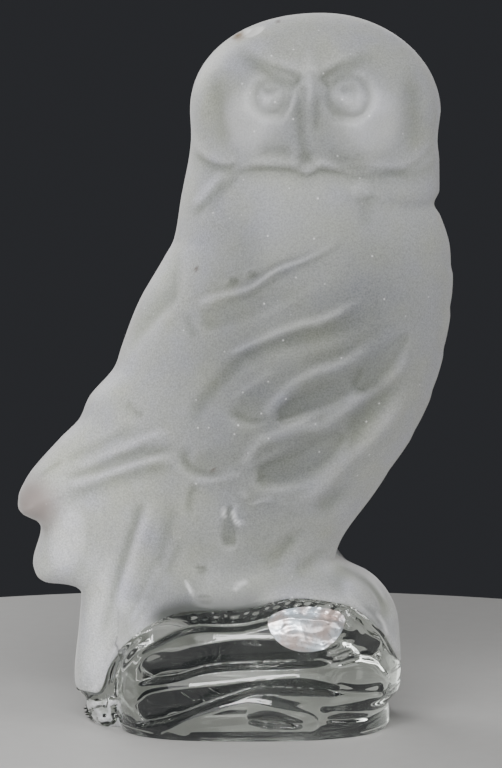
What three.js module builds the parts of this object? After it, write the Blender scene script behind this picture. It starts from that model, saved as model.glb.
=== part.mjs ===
// Owl perched on a rock, cast as one solid lump of crystal, with an oval foil label on the rock.
// Millimetres, +Z up. The face looks to -Y, the breast to +X and the tail hangs at -X.
// The origin is on the table, under the middle of the whole piece.
import * as THREE from 'three';

// Driving dimensions
const HEIGHT = 220;
const DOME_FROM = 190;
const CROWN_X = 27;
const FACE_BUDGET = 9400;
const THINNEST_FACE = 0.45;
const FOOT_FADE = 1.2;
const FOIL = { thickness: 0.3, gap: 0.35 };
const LABEL = { x: 21.9, z: 36.6, halfWidth: 11.7, upper: 4.2, lower: 9, lean: 0.2 };

const clamp = (value, low, high) => Math.min(Math.max(value, low), high);
const ease = (t) => {
  const k = clamp(t, 0, 1);
  return k * k * (3 - 2 * k);
};

// A curve through stations of [height, value] that never overshoots them.
function rail(stations) {
  const last = stations.length - 1;
  const rise = [];
  const slope = [];
  for (let i = 0; i < last; i++) {
    rise.push(stations[i + 1][0] - stations[i][0]);
    slope.push((stations[i + 1][1] - stations[i][1]) / rise[i]);
  }
  const tangent = [slope[0]];
  for (let i = 1; i < last; i++) {
    const before = 2 * rise[i] + rise[i - 1];
    const after = rise[i] + 2 * rise[i - 1];
    const turns = slope[i - 1] * slope[i] <= 0;
    tangent.push(turns ? 0 : (before + after) / (before / slope[i - 1] + after / slope[i]));
  }
  tangent.push(slope[last - 1]);
  return (height) => {
    const z = clamp(height, stations[0][0], stations[last][0]);
    let i = 0;
    while (i < last - 1 && z > stations[i + 1][0]) i++;
    const t = (z - stations[i][0]) / rise[i];
    const s = 1 - t;
    const start = (1 + 2 * t) * s * s * stations[i][1] + t * s * s * rise[i] * tangent[i];
    const end = t * t * (3 - 2 * t) * stations[i + 1][1] - t * t * s * rise[i] * tangent[i + 1];
    return start + end;
  };
}

// Outline seen from the front, [height, x]: the tail side, from the foot of the tail to the cheek.
const tailSide = rail([
  [0, -43.6], [2, -45.2], [9, -47.2], [11, -49.4], [14.5, -50], [32, -48.4], [41, -47.7],
  [43.3, -50.5], [44.2, -58.5], [46.5, -61.6], [50.5, -62.7], [61.5, -60.2],
  [63.6, -61.6], [65, -65.2], [68, -67.3], [71, -67.1], [76, -65], [89, -54.2], [95.5, -47.9],
  [101.5, -45.3], [112, -36.8], [118, -34.8], [131, -29.8], [145, -21.8], [151, -18.6],
  [163, -16.5], [183, -13.3], [DOME_FROM, -13.6],
]);
// The breast side, from the rock over the foot and the breast to the other cheek.
const breastSide = rail([
  [0, 47.4], [2, 48.4], [7, 48.1], [12, 51.3], [15, 51.9], [27, 51.3], [34, 50.7], [39, 48.8],
  [44, 45], [49.5, 36], [52.5, 31.4], [55.5, 32.2], [72.8, 43.7], [94.7, 57.5], [110, 63.2],
  [126, 66.3], [137, 67.2], [148, 66.4], [158, 63.4], [161.8, 61.4], [166, 63], [175, 62.9],
  [181, 62.3], [DOME_FROM, 63.2],
]);
// The columns of the skin follow this calmer line, so the wing tips don't shear them.
const innerTailSide = rail([
  [0, -43.6], [12, -48], [43, -48], [62, -57], [70, -60], [89, -52], [112, -36.8], [145, -21.8],
  [163, -16.5], [DOME_FROM, -13.6],
]);

// Sections, one row for each height: where the body starts to swell out of the thin tail, over
// how long a run, where it is thickest, half depth of the body and of the tail, the rounding of
// the tail edge, and how square the section is.
const sections = [
  [0, -35, 34, 4, 30.7, 9, 8, 2.6],
  [3, -36, 34, 4, 31.3, 10, 8, 2.6],
  [8, -36, 34, 4, 32.4, 10.3, 8, 2.6],
  [12, -36, 34, 4, 33.2, 10.5, 8, 2.6],
  [24, -35, 34, 6, 33, 11, 9, 2.6],
  [34, -35, 34, 6, 32.4, 11.5, 9, 2.6],
  [43, -38, 30, 3, 30.2, 12, 10, 2.5],
  [53, -44, 42, -3, 28, 12.5, 11, 2.35],
  [66, -54, 56, 0, 29, 12.5, 12, 2.3],
  [82, -56, 66, 3, 31, 13.5, 14, 2.3],
  [100, -50, 64, 8, 33.4, 15.5, 20, 2.3],
  [118, -38, 52, 14, 34.6, 18, 28, 2.3],
  [135, -30, 44, 19, 34.2, 20, 36, 2.3],
  [150, -22, 34, 23, 31.8, 24, 42, 2.35],
  [162, -18, 30, 23, 29.2, 28, 40, 2.4],
  [171, -16, 30, 23.5, 28, 28, 39, 2.5],
  [180, -14, 30, 24.5, 29.6, 29.6, 38.5, 2.55],
  [DOME_FROM, -14, 30, 24.8, 30.8, 30.8, 38.4, 2.55],
];
const sectionColumn = (index) => rail(sections.map((row) => [row[0], row[index]]));
const swellFrom = sectionColumn(1);
const swellRun = sectionColumn(2);
const thickestX = sectionColumn(3);
const bodyDepth = sectionColumn(4);
const tailDepth = sectionColumn(5);
const edgeRounding = sectionColumn(6);
const squareness = sectionColumn(7);

// Top of the head: 1 up to the cheeks, then falling to 0 at the crown.
function dome(z, power) {
  const t = clamp((z - DOME_FROM) / (HEIGHT - DOME_FROM), 0, 1);
  return (1 - t ** power) ** (1 / power);
}
const leftEdge = (z) => CROWN_X + (tailSide(z) - CROWN_X) * dome(z, 2.15);
const rightEdge = (z) => CROWN_X + (breastSide(z) - CROWN_X) * dome(z, 1.95);

// The tail outline as a line, for rounding the lobes of the wing tips from below as well.
const LOBES_TO = 100;
const tailOutline = [];
for (let z = 0; z <= LOBES_TO; z += z > 40 && z < 72 ? 0.75 : 4) tailOutline.push([tailSide(z), z]);

function nearestOn(line, x, z) {
  let best = { distance: Infinity, side: 1, along: 0 };
  for (let i = 0; i < line.length - 1; i++) {
    const [ax, az] = line[i];
    const run = line[i + 1][0] - ax;
    const lift = line[i + 1][1] - az;
    const t = clamp(((x - ax) * run + (z - az) * lift) / (run * run + lift * lift), 0, 1);
    const dx = x - ax - t * run;
    const dz = z - az - t * lift;
    const distance = Math.hypot(dx, dz);
    if (distance < best.distance) {
      best = { distance, side: Math.sign(run * dz - lift * dx), along: (i + t) / (line.length - 1) };
    }
  }
  return best;
}

// How far the section has swelled out of the tail: the rock bulges at once, like a boulder, and
// the body flows out of the wings.
function swellShare(t, z) {
  const share = clamp(t, 0, 1);
  const fillet = share ** 2 / (share + 0.03);
  const bulge = (1 - (1 - fillet) ** 2.4) ** (1 / 2.4);
  const rockShare = 1 - ease((z - 26) / 16);
  return ease(share) + (bulge - ease(share)) * rockShare;
}

// Half depth of the plain form, before any carving.
function halfDepth(x, z) {
  const left = leftEdge(z);
  const right = rightEdge(z);
  const top = dome(z, 2.3);
  const swell = swellShare((x - swellFrom(z)) / swellRun(z), z);
  const depth = (tailDepth(z) + (bodyDepth(z) - tailDepth(z)) * swell) * top;
  const power = squareness(z);
  const rounding = edgeRounding(z);
  const middle = (left + right) / 2;
  let inside = x - left;
  if (z > DOME_FROM) inside *= rounding / Math.max(middle - left, 0.001);
  if (z < LOBES_TO) {
    const straight = ease((z - LOBES_TO + 20) / 20);
    const nearest = Math.min(inside, nearestOn(tailOutline, x, z).distance);
    inside = nearest + (inside - nearest) * straight;
  }
  const fromTail = 1 - clamp(inside / rounding, 0, 1);
  const near = Math.max(thickestX(z), middle);
  const fromBreast = clamp((x - near) / Math.max(right - near, 0.001), 0, 1);
  const round = (t) => Math.max(1 - t ** power, 0) ** (1 / power);
  return depth * round(fromTail) * round(fromBreast);
}

// A smooth line through a stroke's points.
function strokeLine(points) {
  const corners = points.map(([x, z]) => new THREE.Vector3(x, 0, z));
  const curve = new THREE.CatmullRomCurve3(corners, false, 'catmullrom', 0.5);
  return curve.getPoints((points.length - 1) * 5).map((point) => [point.x, point.z]);
}
const bell = (distance, width) => Math.exp(-((distance / width) ** 2));

// A stroke answers with the height it adds at a point, and with 0 out of its reach. Its profile
// answers for a distance, a side (1 is left of its run) and a share of the way along.
function alongLine(points, reach, profile) {
  const line = strokeLine(points);
  const [lowX, lowZ] = [0, 1].map((axis) => Math.min(...line.map((p) => p[axis])) - reach);
  const [highX, highZ] = [0, 1].map((axis) => Math.max(...line.map((p) => p[axis])) + reach);
  return (x, z) => {
    if (x < lowX || x > highX || z < lowZ || z > highZ) return 0;
    return profile(nearestOn(line, x, z));
  };
}

// The ends of a stroke are the shares of its length over which it fades in and out.
const taper = (along, [start, end]) => ease(along / start) * ease((1 - along) / end);

function groove(points, width, depth, ends = [0.25, 0.25]) {
  const profile = ({ distance, along }) => -depth * bell(distance, width) * taper(along, ends);
  return alongLine(points, 3 * width, profile);
}
const ridge = (points, width, height, ends) => groove(points, width, -height, ends);

// The edge of a feather or ledge: the ground climbs to the line on its left, then drops.
function lip(points, rise, drop, run, fade, softness = 1.1, ends = [0.2, 0.2]) {
  return alongLine(points, 3 * Math.max(run, fade), ({ distance, side, along }) => {
    const share = ease((side * distance + softness) / (2 * softness));
    const height = rise * bell(distance, run) * share - drop * bell(distance, fade) * (1 - share);
    return height * taper(along, ends);
  });
}

// The hollow of a feather, with the outline of a leaf. It is cut deepest at its tip and along its
// right side, and last is the share of the depth that is left at its other end.
function gouge(points, width, depth, last = 0.3) {
  return alongLine(points, width, ({ distance, side, along }) => {
    const halfWidth = width * Math.sin(Math.PI * (0.22 + 0.68 * along)) ** 0.6;
    const share = distance / halfWidth;
    const bowl = ease((1 - share) / 0.65) * (0.8 - 0.3 * side * share);
    return -depth * bowl * (1 - (1 - last) * ease(along));
  });
}

// The value at a place along [place, value] pairs, with straight runs between them.
function interpolate(pairs, place) {
  if (place <= pairs[0][0]) return pairs[0][1];
  const next = pairs.findIndex(([x]) => x > place);
  if (next < 0) return pairs[pairs.length - 1][1];
  const [[fromX, from], [toX, to]] = [pairs[next - 1], pairs[next]];
  return from + ((to - from) * (place - fromX)) / (toX - fromX);
}

// A ledge of the rock. The ground climbs to the edge, leans back below it as one smooth face, and
// steps out again at the foot. Both lines run from left to right. The edge is bevelled: the bevel
// gives millimetres up and the share of the rise.
const BEVEL = [[0, 1], [1.5, 0.65], [5, 0]];
function ledge(edge, foot, rise, drop, step = 3.2, ends = [8, 6]) {
  const edgeLine = strokeLine(edge);
  const footLine = strokeLine(foot);
  const first = edgeLine[0][0];
  const last = edgeLine[edgeLine.length - 1][0];
  const highest = Math.max(...edgeLine.map((point) => point[1])) + BEVEL[BEVEL.length - 1][0];
  return (x, z) => {
    if (x < first || x > last || z > highest) return 0;
    const top = interpolate(edgeLine, x);
    const low = interpolate(footLine, x);
    const fade = ease((x - first) / ends[0]) * ease((last - x) / ends[1]);
    if (z > top) return rise * interpolate(BEVEL, z - top) * fade;
    if (z <= low) return -drop * (1 - ease((low - z) / step)) * fade;
    return (rise - ((rise + drop) * (top - z)) / (top - low)) * fade;
  };
}

// A round or oval hollow.
function scoop(x0, z0, halfLength, halfWidth, degrees, depth) {
  const cos = Math.cos(THREE.MathUtils.degToRad(degrees));
  const sin = Math.sin(THREE.MathUtils.degToRad(degrees));
  return (x, z) => {
    const u = ((x - x0) * cos + (z - z0) * sin) / halfLength;
    const v = ((z - z0) * cos - (x - x0) * sin) / halfWidth;
    return -depth * ease(1 - u * u - v * v);
  };
}
const boss = (x, z, length, width, degrees, height) => scoop(x, z, length, width, degrees, -height);

// An eye: a flat button in a soft ring, with the pupil a dimple off its middle.
function eye(x, z, radius) {
  const socketRing = (px, pz) => -1.2 * bell(Math.hypot(px - x, pz - z) - radius, 1.7);
  return [
    socketRing,
    boss(x, z, radius * 0.8, radius * 0.8, 0, 0.5),
    scoop(x - 0.6, z + 1.8, 2.2, 1.7, 0, 0.8),
  ];
}

const face = [
  // Hollows inside the rim of the facial disc, and the full cheeks between them
  groove([[0, 205], [-4.8, 199.2], [-5.4, 190], [-5.1, 183], [-1.2, 176.5]], 3.2, 1.5, [0.3, 0.25]),
  groove([[46.5, 205.5], [52.7, 199.2], [54.5, 190], [53.7, 181.3], [50.5, 175.8]], 3.6, 1.6, [0.3, 0.25]),
  boss(5, 186, 11, 9, 90, 0.8),
  boss(42, 186, 11, 10, 90, 0.8),
  // Brows, with the forehead standing over them
  lip([[0.3, 209.6], [6.5, 205.6], [13, 202.3], [20.4, 198.2]], 1, 1.5, 9, 3.2, 1.4, [0.3, 0.1]),
  lip([[25.4, 198], [31, 202.5], [36.5, 205.8], [42.8, 209.4]], 1, 1.5, 9, 3.2, 1.4, [0.1, 0.3]),
  // Beak, narrow and straight, running up into the ridge of the forehead
  ridge([[23.2, 210], [22.6, 200], [22.4, 190], [22.5, 177]], 2.6, 1.3, [0.4, 0.3]),
  groove([[19.8, 198], [19.4, 190], [19.7, 182], [20.6, 174.5]], 1.9, 1.6, [0.15, 0.15]),
  groove([[25.8, 197], [25.8, 189], [25.3, 180.5]], 1.9, 1.1, [0.15, 0.3]),
  ...eye(10.8, 194.1, 5),
  ...eye(34.5, 194.1, 6),
  // Hollows of the moustache
  scoop(12.5, 177, 7, 2.6, -8, 1),
  scoop(33.5, 175.8, 7, 2.6, -12, 1),
  // Jaw line, which overhangs the neck
  lip([[-13.6, 186], [-12.2, 179.5], [-8.1, 175], [-2.1, 173.2], [5, 174], [13.8, 173.9],
    [19, 173.3], [22, 172.2], [25.5, 173.3], [33, 172.8], [40.6, 173], [47, 171.8], [53, 172],
    [58.9, 175], [61.8, 179.4]], 0.8, 1.5, 5, 3.8, 1.2, [0.1, 0.1]),
];

const wing = [
  // Scapular feathers: a long edge from the shoulder down, over a broad shallow hollow
  lip([[-12.6, 130.9], [-6.5, 134], [4.8, 137.5], [12.2, 142.6], [21.2, 146.1], [29.2, 150.5],
    [33.5, 157]], 0.9, 1.2, 8, 7, 1.4, [0.15, 0.4]),
  // First row of coverts, and the round ends of the row
  lip([[-3.5, 115.3], [0.3, 118.4], [8.4, 122], [19.7, 126.2], [25.6, 127.4], [36.1, 132.7],
    [45, 137.5]], 0.9, 1.3, 8, 6, 1.4, [0.15, 0.4]),
  groove([[8.4, 118.4], [0.3, 114.2], [-7.1, 106.6], [-13.1, 97.5], [-15, 90]], 2.8, 1.1, [0.3, 0.3]),
  gouge([[1, 100], [9.6, 104.6], [18, 110]], 5, 1, 0.2),
  // Second row: two leaf-shaped hollows, one behind the other, under an edge
  lip([[9.6, 98.6], [12.3, 103.4], [21.2, 110.3], [31.7, 114.2], [41.3, 121.2], [49, 127]],
    1.1, 0.4, 6, 5, 1.2, [0.1, 0.3]),
  gouge([[15.6, 99.8], [25.7, 104.6], [37, 111.8]], 5.4, 1.9),
  gouge([[38.6, 108.6], [45.3, 115.8], [50.5, 121.5]], 5.8, 1.4, 0.4),
  // The large hollow in the middle of the wing, between two strong edges
  lip([[1.8, 80.3], [4.2, 86.4], [12.3, 92.8], [21.3, 95.4], [29.1, 97.8], [36.3, 103.1],
    [43.2, 106.8], [50, 114]], 1.2, 0.4, 6, 5, 1.2, [0.1, 0.25]),
  gouge([[10.4, 81], [16.4, 82.8], [22, 85.6], [32, 92.6]], 7.8, 2.6, 0.4),
  groove([[30.6, 87.4], [38.5, 97.4], [45.4, 104], [53, 112.6]], 3.2, 1.4, [0.3, 0.5]),
  lip([[9, 72.8], [19.9, 73.2], [30.4, 81.2], [39.5, 89.5], [48.6, 99.9], [54.6, 109.6]],
    1, 1.2, 4, 5, 1.4, [0.2, 0.3]),
  // Feather tips low on the wing
  gouge([[-9.8, 85], [-2.7, 86.8], [5, 90.4]], 4.8, 1, 0.2),
  groove([[-15.6, 90], [-15.3, 85.1], [-12.4, 81.4], [-4, 80.4]], 2.4, 0.9),
  gouge([[-1.6, 59.6], [-1.8, 63], [-1.9, 67], [-1.6, 71]], 3.4, 1.9, 0.6),
  groove([[19.3, 63], [14, 58], [8, 53.5]], 2.4, 0.7),
  // Primaries, drawn together to the tip of the wing
  groove([[-27, 97], [-42, 89], [-58, 78]], 2, 0.9),
  groove([[-17.5, 91], [-40, 82.8], [-58, 76]], 2.2, 1.1),
  groove([[-16, 84.5], [-38, 78.8], [-58, 74.5]], 2.2, 1),
  lip([[-58, 70.5], [-46, 73.2], [-35.5, 76], [-26, 78.6], [-14, 80.5]], 0.8, 1.4, 5, 7, 1.4),
];

const mantleAndTail = [
  // Shoulder, and the folded wing that stands over the back
  groove([[-2.4, 170.9], [-6.3, 165.5], [-9.3, 161.8], [-13.3, 157.4]], 2, 0.9),
  lip([[-14.6, 158], [-15.8, 148.1], [-17.2, 136.4], [-18.7, 132.2], [-22.9, 127.8],
    [-27.9, 121.8], [-34.5, 112.6]], 0.1, 1.4, 5, 6, 2, [0.5, 0.2]),
  // Tail feathers, running down to the rock
  lip([[-41.8, 23], [-38.5, 40], [-33.5, 60], [-27.5, 73]], 0.6, 0.9, 6, 3, 1.4),
  groove([[-34.5, 30], [-27, 43.6], [-22.1, 58.4], [-19, 71]], 2.4, 1),
  boss(-51.5, 58.5, 13, 7, 80, 0.8),
  boss(-42, 34, 22, 6, 80, 0.5),
];

// The hem of the feathers over the rock. At the back it lies a little higher.
const frontHem = [
  [-46, 11.2], [-41.5, 11.6], [-38.8, 19], [-35.4, 24.1], [-30, 31], [-22.9, 35.5],
  [-12.4, 39.6], [3, 40.4], [17, 43.6], [30.5, 41.8], [37, 39.2], [44.7, 32.2], [48, 26.5],
  [51, 20.6],
];
const backHem = frontHem.map(([x, z]) => [x, z + 9 * ease((x + 40) / 14) * ease((50 - x) / 12)]);
const hemOf = (line) => lip(line, 0.8, 0.6, 5, 4, 1.1, [0.05, 0.05]);
const raised = (line, lift) => line.map(([x, z]) => [x, z + lift]);
const rim = frontHem.slice(4, 11);

// The two ledges of the rock, each by its edge and the foot of its face
const upperLedge = [
  [[-30, 20.4], [-26.8, 24.6], [-24, 26.8], [-20, 28.2], [-15.7, 28.9], [-3.9, 31], [4.2, 31.7],
    [18, 31.2], [25, 29.4], [30, 26.6]],
  [[-30, 17.4], [-26.5, 18.6], [-17.8, 20.3], [-8.1, 23.2], [4.2, 24.2], [22.3, 24.6], [30, 25.4]],
];
const lowerLedge = [
  [[-31, 9.6], [-28.4, 11.4], [-24.9, 14.4], [-16.3, 16.5], [-3.6, 18], [4.5, 19], [11.1, 19.6],
    [20.2, 20], [27, 18.6], [32, 16.4]],
  [[-31, 4.6], [-25.6, 5.4], [-18, 7.8], [-10.3, 11.1], [-2.7, 14], [6.9, 16.9], [16.9, 16.6],
    [26, 15.8], [32, 15.2]],
];

const rock = [
  // The hollow under the hem
  hemOf(frontHem),
  groove(raised(rim, -2.8), 3, 2.2, [0.12, 0.12]),
  // Two ledges with broad faces, and the low mound at the foot of the rock
  ledge(...upperLedge, 1.1, 3),
  ledge(...lowerLedge, 1.1, 2.6),
  lip([[46, 12.6], [37.5, 13.8], [28, 14.8], [16.9, 15.4]], 0, 0.6, 3, 3, 1.4, [0.1, 0.5]),
  ledge([[-23, 2.4], [-20.3, 3.4], [-13.3, 7.2], [-5.8, 9.6], [1.2, 12], [7.2, 12.4], [16.9, 9.9],
    [22.9, 8.1], [27, 4]], [[-23, 0.5], [27, 0.5]], 0.8, 0),
  scoop(12.5, 7.6, 8, 2.8, -6, 1.2),
  // Foot and toes gripping the rock at the breast side, with a pocket behind them
  groove([[28, 52], [37.8, 47.6], [44.1, 42.6], [47.7, 34]], 2.2, 1.2),
  boss(38.5, 42.5, 9, 4.5, -45, 1.6),
  scoop(38, 31.4, 6.5, 3.4, -35, 2.2),
  boss(37.5, 19.4, 12, 6.4, -12, 0.8),
  groove([[26.5, 25.6], [31.4, 24], [37.5, 24.8], [42.8, 24.4], [45.6, 21.2], [48.5, 15.6]], 1.8, 1),
  ...[[27, 27.8], [30.4, 27.6], [33.8, 28]].map(([x, z]) => boss(x, z, 3.6, 1.5, 45, 1.1)),
];
const backOfRock = [
  hemOf(backHem),
  // The front leans in towards its foot and its top, but the back stands upright
  ridge([[-60, 0], [60, 0]], 7, 3, [0.05, 0.05]),
  boss(4, 44, 44, 10, 0, 2.2),
  // Fainter copies of the ledges, a little higher
  ...[upperLedge, lowerLedge].map(([edge, foot]) => ledge(raised(edge, 3), raised(foot, 3), 0.5, 0.8)),
];

// Breast between the wings, in [y, height]: the front edge of each wing and rows of feather tips.
const wingFrontEdge = (side) =>
  groove([[side * 20, 156], [side * 22, 130], [side * 19, 100], [side * 14, 72]], 2.6, 1.5);
const breast = [wingFrontEdge(-1), wingFrontEdge(1)];
for (let row = 0; row < 6; row++) {
  const z = 148 - 13 * row;
  const reach = 17 - 1.2 * row;
  breast.push(lip([[reach, z], [reach / 2, z - 5], [0, z - 7], [-reach / 2, z - 5], [-reach, z]],
    0.2, 0.4, 5, 4, 1.6));
}

const bothFlanks = [...wing, ...mantleAndTail];
const frontOnly = [...face, ...rock];
const heightOf = (strokes, a, b) => strokes.reduce((sum, stroke) => sum + stroke(a, b), 0);

// Relief at a point of the plain form. The wings are alike on both sides, the face and the ledges
// are only in front, and the strokes fade out where the skin turns to the side.
function relief(x, y, z, facing) {
  const front = facing < 0 ? heightOf(frontOnly, x, z) * ease(z / FOOT_FADE) : 0;
  const behind = facing < 0 ? 0 : heightOf(backOfRock, x, z);
  const flank = heightOf(bothFlanks, x, z) + front + behind;
  const side = x > 0 ? heightOf(breast, y, z) : 0;
  const share = clamp(Math.abs(facing) / 0.35, 0, 1);
  return flank * share + side * (1 - share);
}

// A point of the plain form. A place is [turn, height]: a turn of 0 is the breast side, 0.25 the
// middle of the back, 0.5 the tail side and 0.75 the middle of the front.
function plainPoint(turn, z) {
  const left = leftEdge(z);
  const right = rightEdge(z);
  const calmLeft = CROWN_X + (innerTailSide(z) - CROWN_X) * dome(z, 2.15);
  const half = turn < 0.5 ? turn * 2 : 2 - turn * 2;
  const spread = 0.6 * Math.cos(Math.PI * half) + 0.4 * (1 - 2 * half);
  const calmX = (calmLeft + right) / 2 + ((right - calmLeft) / 2) * spread;
  const x = calmX + (left - calmLeft) * ((1 - spread) / 2) ** 8;
  return [x, halfDepth(x, z) * (turn < 0.5 ? 1 : -1)];
}

// The carved point at a place, and the way out there: level and square to the plain section. The
// relief moves the point along it.
function carved([turn, z]) {
  const step = 0.004;
  const [x, y] = plainPoint(turn, z);
  const [beforeX, beforeY] = plainPoint((turn + 1 - step) % 1, z);
  const [afterX, afterY] = plainPoint((turn + step) % 1, z);
  const length = Math.hypot(afterX - beforeX, afterY - beforeY);
  const out = new THREE.Vector3(afterY - beforeY, beforeX - afterX, 0).divideScalar(length);
  const point = new THREE.Vector3(x, y, z).addScaledVector(out, relief(x, y, z, out.y));
  return { point, out };
}

// The skin starts as a coarse net of rings. The edges that miss the carved form by most are split
// until the budget of faces is used, so the small faces lie along the strokes.
const places = [];
const points = [];
const missCache = new Map();
function addPlace(place) {
  places.push(place);
  return points.push(carved(place).point) - 1;
}
function between(a, b, share) {
  const [[turnA, zA], [turnB, zB]] = [places[a], places[b]];
  const away = turnB - turnA + Math.round(turnA - turnB);
  return [(turnA + away * share + 1) % 1, zA + (zB - zA) * share];
}
const edgeKey = (a, b) => Math.min(a, b) * 100000 + Math.max(a, b);
// The eye goes to the face first, then to the front of the wings, so the skin is finer there.
function careAt({ y, z }) {
  if (y > 0) return 0.6;
  if (z > 168) return 1.8;
  return z > 46 ? 1.2 : 0.8;
}
// How far an edge lies in or out of the carved form, counted more where care is taken.
const PROBES = [0.25, 0.5, 0.75];
function missOf(a, b) {
  const key = edgeKey(a, b);
  if (!missCache.has(key)) {
    const misses = PROBES.map((share) => {
      const straight = points[a].clone().lerp(points[b], share);
      const { point, out } = carved(between(a, b, share));
      return Math.abs(point.sub(straight).dot(out)) * careAt(straight);
    });
    missCache.set(key, Math.max(...misses));
  }
  return missCache.get(key);
}

// Every edge with the faces on its two sides. Each side is [face, corner across from the edge].
function edgesOf(faces) {
  const edges = new Map();
  faces.forEach((face, index) => {
    for (let i = 0; i < 3; i++) {
      const a = face[i];
      const b = face[(i + 1) % 3];
      const key = edgeKey(a, b);
      if (!edges.has(key)) edges.set(key, { a, b, sides: [] });
      edges.get(key).sides.push([index, face[(i + 2) % 3]]);
    }
  });
  return edges;
}

// How far a face's third corner stands off its longest side.
function thickness(a, b, c) {
  const [first, second, third] = [points[a], points[b], points[c]];
  const ab = second.clone().sub(first);
  const ac = third.clone().sub(first);
  const longest = Math.max(ab.length(), ac.length(), second.distanceTo(third));
  return ab.cross(ac).length() / longest;
}
// Whether three corners turn the right way round on the form and make a face that isn't a sliver.
function isSound(a, b, c) {
  const [[turn, z], second, third] = [places[a], places[b], places[c]];
  const away = (other) => ((other - turn + 1.5) % 1) - 0.5;
  const area = away(second[0]) * (third[1] - z) - away(third[0]) * (second[1] - z);
  return area > 0 && thickness(a, b, c) > THINNEST_FACE;
}

// Split the edges that miss the form by more than the tolerance, the worst first.
function splitPass(faces, tolerance) {
  const used = new Set();
  const wanted = [...edgesOf(faces).values()].filter(({ a, b }) => missOf(a, b) > tolerance);
  wanted.sort((one, two) => missOf(two.a, two.b) - missOf(one.a, one.b));
  for (const { a, b, sides } of wanted) {
    if (faces.length >= FACE_BUDGET) break;
    if (sides.some(([index]) => used.has(index))) continue;
    const middle = addPlace(between(a, b, 0.5));
    const halves = sides.map(([index]) => [[a, middle], [b, middle]].map(([kept, added]) =>
      faces[index].map((corner) => (corner === a || corner === b) && corner !== kept ? added : corner)));
    if (!halves.flat().every((face) => isSound(...face))) {
      places.pop();
      points.pop();
      continue;
    }
    sides.forEach(([index], side) => {
      [faces[index]] = halves[side];
      faces.push(halves[side][1]);
      used.add(index);
    });
  }
  return used.size;
}

// Turn an edge to the other diagonal of its two faces where that costs clearly less: it lies closer
// to the form, or as close and is shorter.
const LENGTH_PRICE = 0.03;
const CLEARLY_LESS = 0.95;
const cost = (a, b) => missOf(a, b) + LENGTH_PRICE * points[a].distanceTo(points[b]);
function flipPass(faces) {
  const used = new Set();
  const edges = edgesOf(faces);
  const made = new Set();
  for (const { a, b, sides } of edges.values()) {
    if (sides.length < 2 || sides.some(([index]) => used.has(index))) continue;
    const [[first, c], [second, d]] = sides;
    if (edges.has(edgeKey(c, d)) || made.has(edgeKey(c, d))) continue;
    if (cost(c, d) > cost(a, b) * CLEARLY_LESS) continue;
    if (!isSound(a, d, c) || !isSound(d, b, c)) continue;
    faces[first] = [a, d, c];
    faces[second] = [d, b, c];
    used.add(first);
    used.add(second);
    made.add(edgeKey(c, d));
  }
  return used.size;
}

function startNet(heights, around) {
  heights.forEach((z) => {
    for (let i = 0; i < around; i++) addPlace([i / around, z]);
  });
  const faces = [];
  for (let ring = 0; ring < heights.length - 1; ring++) {
    for (let i = 0; i < around; i++) {
      const a = ring * around + i;
      const b = ring * around + ((i + 1) % around);
      faces.push([a, b, b + around], [a, b + around, a + around]);
    }
  }
  return faces;
}

// Close the two open ends with fans: the flat underside and the crown.
function closeEnds(faces) {
  const under = points.push(new THREE.Vector3(2, 0, 0)) - 1;
  const crown = points.push(new THREE.Vector3(CROWN_X, 0, HEIGHT)) - 1;
  for (const { a, b, sides } of edgesOf(faces).values()) {
    if (sides.length === 1) faces.push([points[a].z < HEIGHT / 2 ? under : crown, b, a]);
  }
}

function owlSkin() {
  const heights = [];
  const rowStep = (z) => {
    if (z >= 40 && z < 48) return 2;
    return z > 170 ? 3 : 4.5;
  };
  for (let z = 0; z < 206; z += rowStep(z)) heights.push(z);
  heights.push(209, 213, 216, 218, 219.3);
  const faces = startNet(heights, 30);
  for (let tolerance = 1; faces.length < FACE_BUDGET; tolerance *= 0.8) {
    while (splitPass(faces, tolerance) > 0) flipPass(faces);
  }
  let passes = 12;
  while (passes > 0 && flipPass(faces) > 0) passes -= 1;
  closeEnds(faces);
  const geometry = new THREE.BufferGeometry().setFromPoints(points);
  geometry.setIndex(faces.flat());
  geometry.computeVertexNormals();
  return geometry;
}

function frostedGlass() {
  return new THREE.MeshStandardMaterial({ color: 0xb4b5b3, roughness: 0.5, metalness: 0 });
}
const owl = new THREE.Mesh(owlSkin(), frostedGlass());
owl.name = 'owl';

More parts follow.
